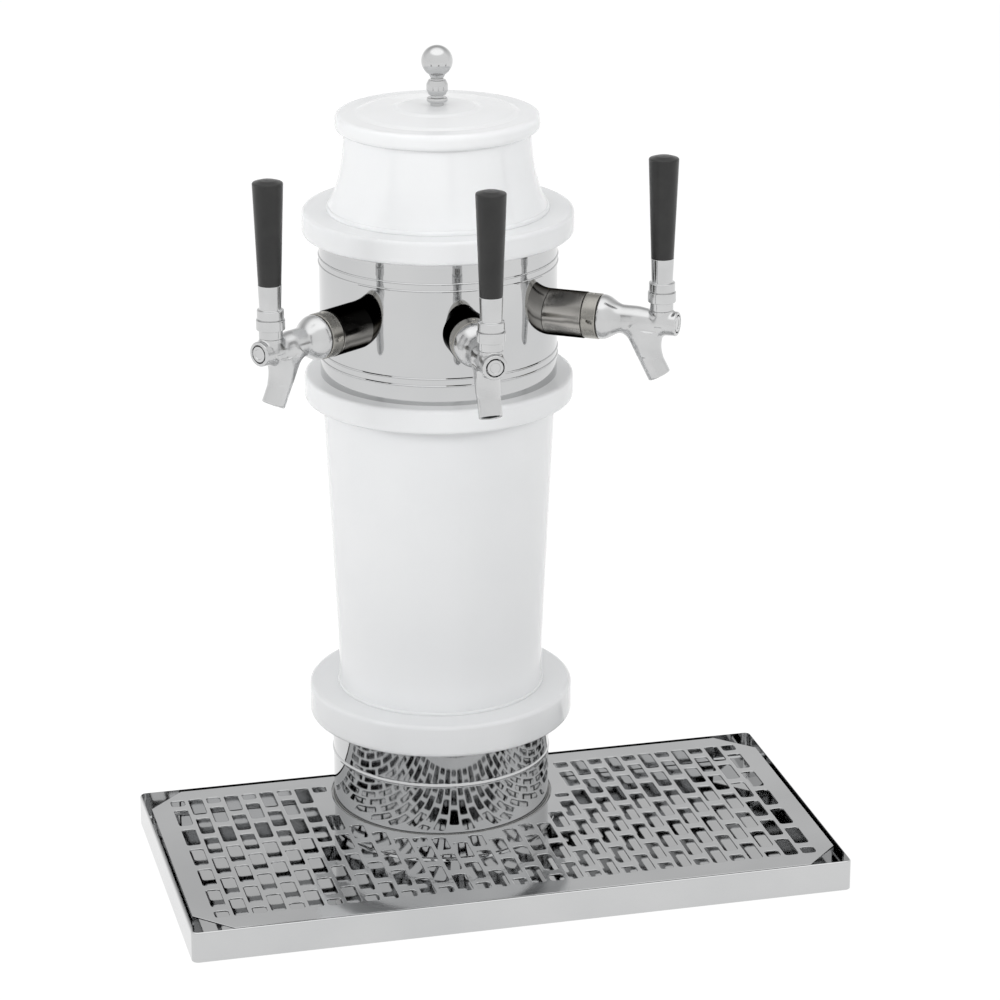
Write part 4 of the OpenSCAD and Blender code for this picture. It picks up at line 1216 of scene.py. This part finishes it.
def make_pan(m):
    """Folded sheet pan: skirt, rolled rim, wall and floor, with its round notch."""
    skirt, top = heights("tray_pan")
    notch = neck_radius() + NOTCH_GAP
    far, near = FLOOR_FOLD
    path = [(TRAY_T, TRAY_FLOOR), (TRAY_T, skirt + 0.2), (TRAY_T - PAN_EDGE, skirt),
            (PAN_EDGE, skirt), (0, skirt + PAN_EDGE)]
    path += [(TRAY_T - TRAY_T * x, top - RIM_ROLL + RIM_ROLL * y) for x, y in arc(1, 0, math.pi / 2, 9)]
    path += [(TRAY_T, TRAY_FLOOR + TRAY_T + far), (TRAY_T + near, TRAY_FLOOR + TRAY_T + near),
             (TRAY_T + far, TRAY_FLOOR + TRAY_T)]
    notch_top = high("tray_grate") - TRAY_T - GAP
    rings = []
    for inset, z in path:
        before, round_part, after = tray_loop(inset, notch + inset)
        level = [(x, y, z) for x, y in before]
        level += [(x, y, min(z, notch_top)) for x, y in round_part]
        rings.append(level + [(x, y, z) for x, y in after])
    piece = add_object("tray_shell", loops_mesh("tray_shell", rings))
    flat_smooth(piece)
    wear(piece, "tray_pan", "polished_steel", m)


HOLE_W = 13.0
HOLE_L = 34.3
HOLE_PITCH_X = 16.7
HOLE_BAR = 8.7
HOLE_CORNER = 3.2
HOLE_STEPS = 4
HOLE_MIN = 8.0
HOLE_END_MARGIN = 20.0
HOLE_SIDE_MARGIN = 18.0
GRATE_CHAMFER = 32.0
GRATE_CLEAR = 2.8
NOTCH_MARGIN = 3.2
GRATE_EDGE = 0.35


def notch_radius():
    """Radius of the grate's notch."""
    return neck_radius() + GRATE_CLEAR


def grate_holes():
    """Every hole as (x, lowest y, highest y), staggered, and cut short at the ends and the notch."""
    lo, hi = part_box("tray_grate")
    pan_lo, pan_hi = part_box("tray_pan")
    x_mid, y_mid = (lo.x + hi.x) / 2 / MM, (pan_lo.y + pan_hi.y) / 2 / MM
    width, depth = (hi.x - lo.x) / MM, (hi.y - lo.y) / MM
    pitch = HOLE_L + HOLE_BAR
    rows = math.floor((depth - 2 * HOLE_END_MARGIN + HOLE_BAR) / pitch)
    columns = 1 + 2 * math.floor((width - 2 * HOLE_SIDE_MARGIN - HOLE_W) / (2 * HOLE_PITCH_X))
    span = rows * pitch - HOLE_BAR
    bottom, top = y_mid - span / 2, y_mid + span / 2
    clear = notch_radius() + NOTCH_MARGIN
    holes = []
    for i in range(columns):
        x = x_mid + (i - (columns - 1) / 2) * HOLE_PITCH_X
        shift = pitch / 2 if i % 2 == 0 else 0
        near = max(abs(x) - HOLE_W / 2, 0)
        limit = math.sqrt(clear ** 2 - near ** 2) if near < clear else 0
        for row in range(rows + 1):
            a = max(bottom + row * pitch - shift, bottom)
            b = min(bottom + row * pitch - shift + HOLE_L, top)
            parts = [(a, min(b, -limit)), (max(a, limit), b)] if limit else [(a, b)]
            holes += [(x, p, q) for p, q in parts if q - p > HOLE_MIN]
    return holes


def hole_outline(x, a, b):
    """Rounded slot, walked round once."""
    return round_corners(x - HOLE_W / 2, a, x + HOLE_W / 2, b, HOLE_CORNER, HOLE_STEPS)


def grate_outline():
    """Chamfered rectangle with the round notch in its back edge."""
    x0, y0, x1, y1 = plan("tray_grate")
    c = GRATE_CHAMFER
    front = [(x0 + c, y0), (x1 - c, y0), (x1, y0 + c), (x1, y1 - c), (x1 - c, y1)]
    return front + notch_arc(notch_radius(), y1) + [(x0 + c, y1), (x0, y1 - c), (x0, y0 + c)]


def plate_mesh(name, outlines, z0, z1, edge):
    """Flat plate with holes and softened edges, filled by a 2-D curve."""
    curve = bpy.data.curves.new(name, "CURVE")
    curve.dimensions = "2D"
    curve.fill_mode = "BOTH"
    curve.extrude = (z1 - z0) / 2 * MM - edge * MM
    curve.bevel_depth = edge * MM
    curve.bevel_resolution = 1
    curve.offset = -edge * MM
    for outline in outlines:
        spline = curve.splines.new("POLY")
        spline.points.add(len(outline) - 1)
        for point, (x, y) in zip(spline.points, outline):
            point.co = (x * MM, y * MM, 0, 1)
        spline.use_cyclic_u = True
    thing = add_object(name + "_curve", curve)
    bpy.context.view_layer.update()
    mesh = bpy.data.meshes.new_from_object(thing.evaluated_get(bpy.context.evaluated_depsgraph_get()))
    bpy.data.objects.remove(thing)
    for vertex in mesh.vertices:
        vertex.co.z += (z0 + z1) / 2 * MM
    return mesh


FOLD_SOFT = 0.4
FOLD_LAP = 0.1


def grate_folds(z0, z1):
    """Folded strips under the grate's straight edges, each with a softened lower edge."""
    x0, y0, x1, y1 = plan("tray_grate")
    c, t = GRATE_CHAMFER, TRAY_T
    notch_half = math.sqrt(notch_radius() ** 2 - y1 ** 2) + t
    strips = [(x0 + c, y0, x1 - c, y0 + t), (x0, y0 + c, x0 + t, y1 - c), (x1 - t, y0 + c, x1, y1 - c),
              (x0 + c, y1 - t, -notch_half, y1), (notch_half, y1 - t, x1 - c, y1)]
    verts, faces = [], []
    for ax, ay, bx, by in strips:
        n = len(verts)
        for z, s in ((z1 + FOLD_LAP, 0), (z0 + FOLD_SOFT, 0), (z0, FOLD_SOFT)):
            verts += [(ax + s, ay + s, z), (bx - s, ay + s, z), (bx - s, by - s, z), (ax + s, by - s, z)]
        for k in range(2):
            a, b = n + 4 * k, n + 4 * k + 4
            faces += [(a + i, b + i, b + (i + 1) % 4, a + (i + 1) % 4) for i in range(4)]
        faces += [(n, n + 1, n + 2, n + 3), (n + 11, n + 10, n + 9, n + 8)]
    return new_mesh("grate_folds", verts, faces)


def make_grate(m):
    """Perforated plate, and the folds it stands on."""
    top = high("tray_grate")
    outlines = [grate_outline()] + [hole_outline(*hole) for hole in grate_holes()]
    plate = add_object("grate_plate", plate_mesh("grate_plate", outlines, top - TRAY_T, top, GRATE_EDGE))
    shade(plate.data, False)
    wear(plate, "tray_grate", "polished_steel", m, "grate_steel")
    folds = add_object("grate_folds", grate_folds(low("tray_grate"), top - TRAY_T))
    flat_smooth(folds)
    wear(folds, "tray_grate", "polished_steel", m, "grate_steel")


FOOT_R = 9.0
SEAL_EDGE = 0.4
SEAL_LIP = 0.15


def make_feet(m):
    """Rubber pads under the tray, one mesh for the six."""
    top = high("tray_feet")
    x0, y0, x1, y1 = plan("tray_feet")
    x0, y0, x1, y1 = x0 + FOOT_R, y0 + FOOT_R, x1 - FOOT_R, y1 - FOOT_R
    side = (x0 + x1) / 2
    places = [(x0, y0), (x0, y1), (x1, y0), (x1, y1), (-side, y0), (side, y0)]
    points = [(0, 0.3), (3, 0.3), (3.3, 0, 0.2), (FOOT_R - 1, 0, 0.6), (FOOT_R, 1.2, 0.8),
              (FOOT_R - 0.8, top, 0.3), (0, top)]
    mesh = lathe_mesh("tray_foot", rounded(points, 4), 48)
    for i, (x, y) in enumerate(places):
        piece = add_object(f"tray_foot_{i + 1}", mesh, Matrix.Translation((x * MM, y * MM, 0)))
        wear(piece, "tray_feet", "rubber", m)


def make_seal(m):
    """Lipped seal between the neck and the tray's notch."""
    neck = neck_radius()
    z0, z1 = heights("notch_seal")
    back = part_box("notch_seal")[1].y / MM
    half = math.asin(back / (neck + NOTCH_GAP))
    inner, outer = neck + GAP, neck + NOTCH_GAP - GAP
    points = [(inner, z0), (outer, z0, SEAL_EDGE), (outer, z1 - 2), (outer + SEAL_LIP, z1 - 1),
              (outer, z1, SEAL_EDGE), (inner, z1, SEAL_EDGE)]
    piece = ring("seal_strip", points, 4, None, 96, (math.pi - half, 2 * math.pi + half))
    wear(piece, "notch_seal", "rubber", m, "grey_rubber")


# The pieces inside keep their CAD shape and take a finish


def dress_inner_parts(m):
    slots = {part["node"]: part["material_slot"] for part in frame["record"]["subparts"]}
    for name, node in frame["nodes"].items():
        if node.hide_render:
            continue
        node.data.materials.clear()
        node.data.materials.append(m[slots[name]])
        shade(node.data)
        node.data.set_sharp_from_angle(angle=FLAT_CREASE)


COLUMN = (make_neck, make_flanges, make_body, make_band, make_dome, make_lid, make_finial)
TAP = (make_collar, make_nut, make_bonnet, make_lever, make_ferrule, make_handle)
REST = (make_faucets, make_caps, make_pan, make_grate, make_feet, make_seal, dress_inner_parts)


def build():
    bpy.context.scene.view_settings.view_transform = "Standard"
    make_camera()
    make_world()
    make_lights()
    make_floor()
    m = make_materials()
    for make in COLUMN:
        make(m)
    for side in SIDES:
        for make in TAP:
            make(side, m)
    for make in REST:
        make(m)


build()
bpy.context.view_layer.update()
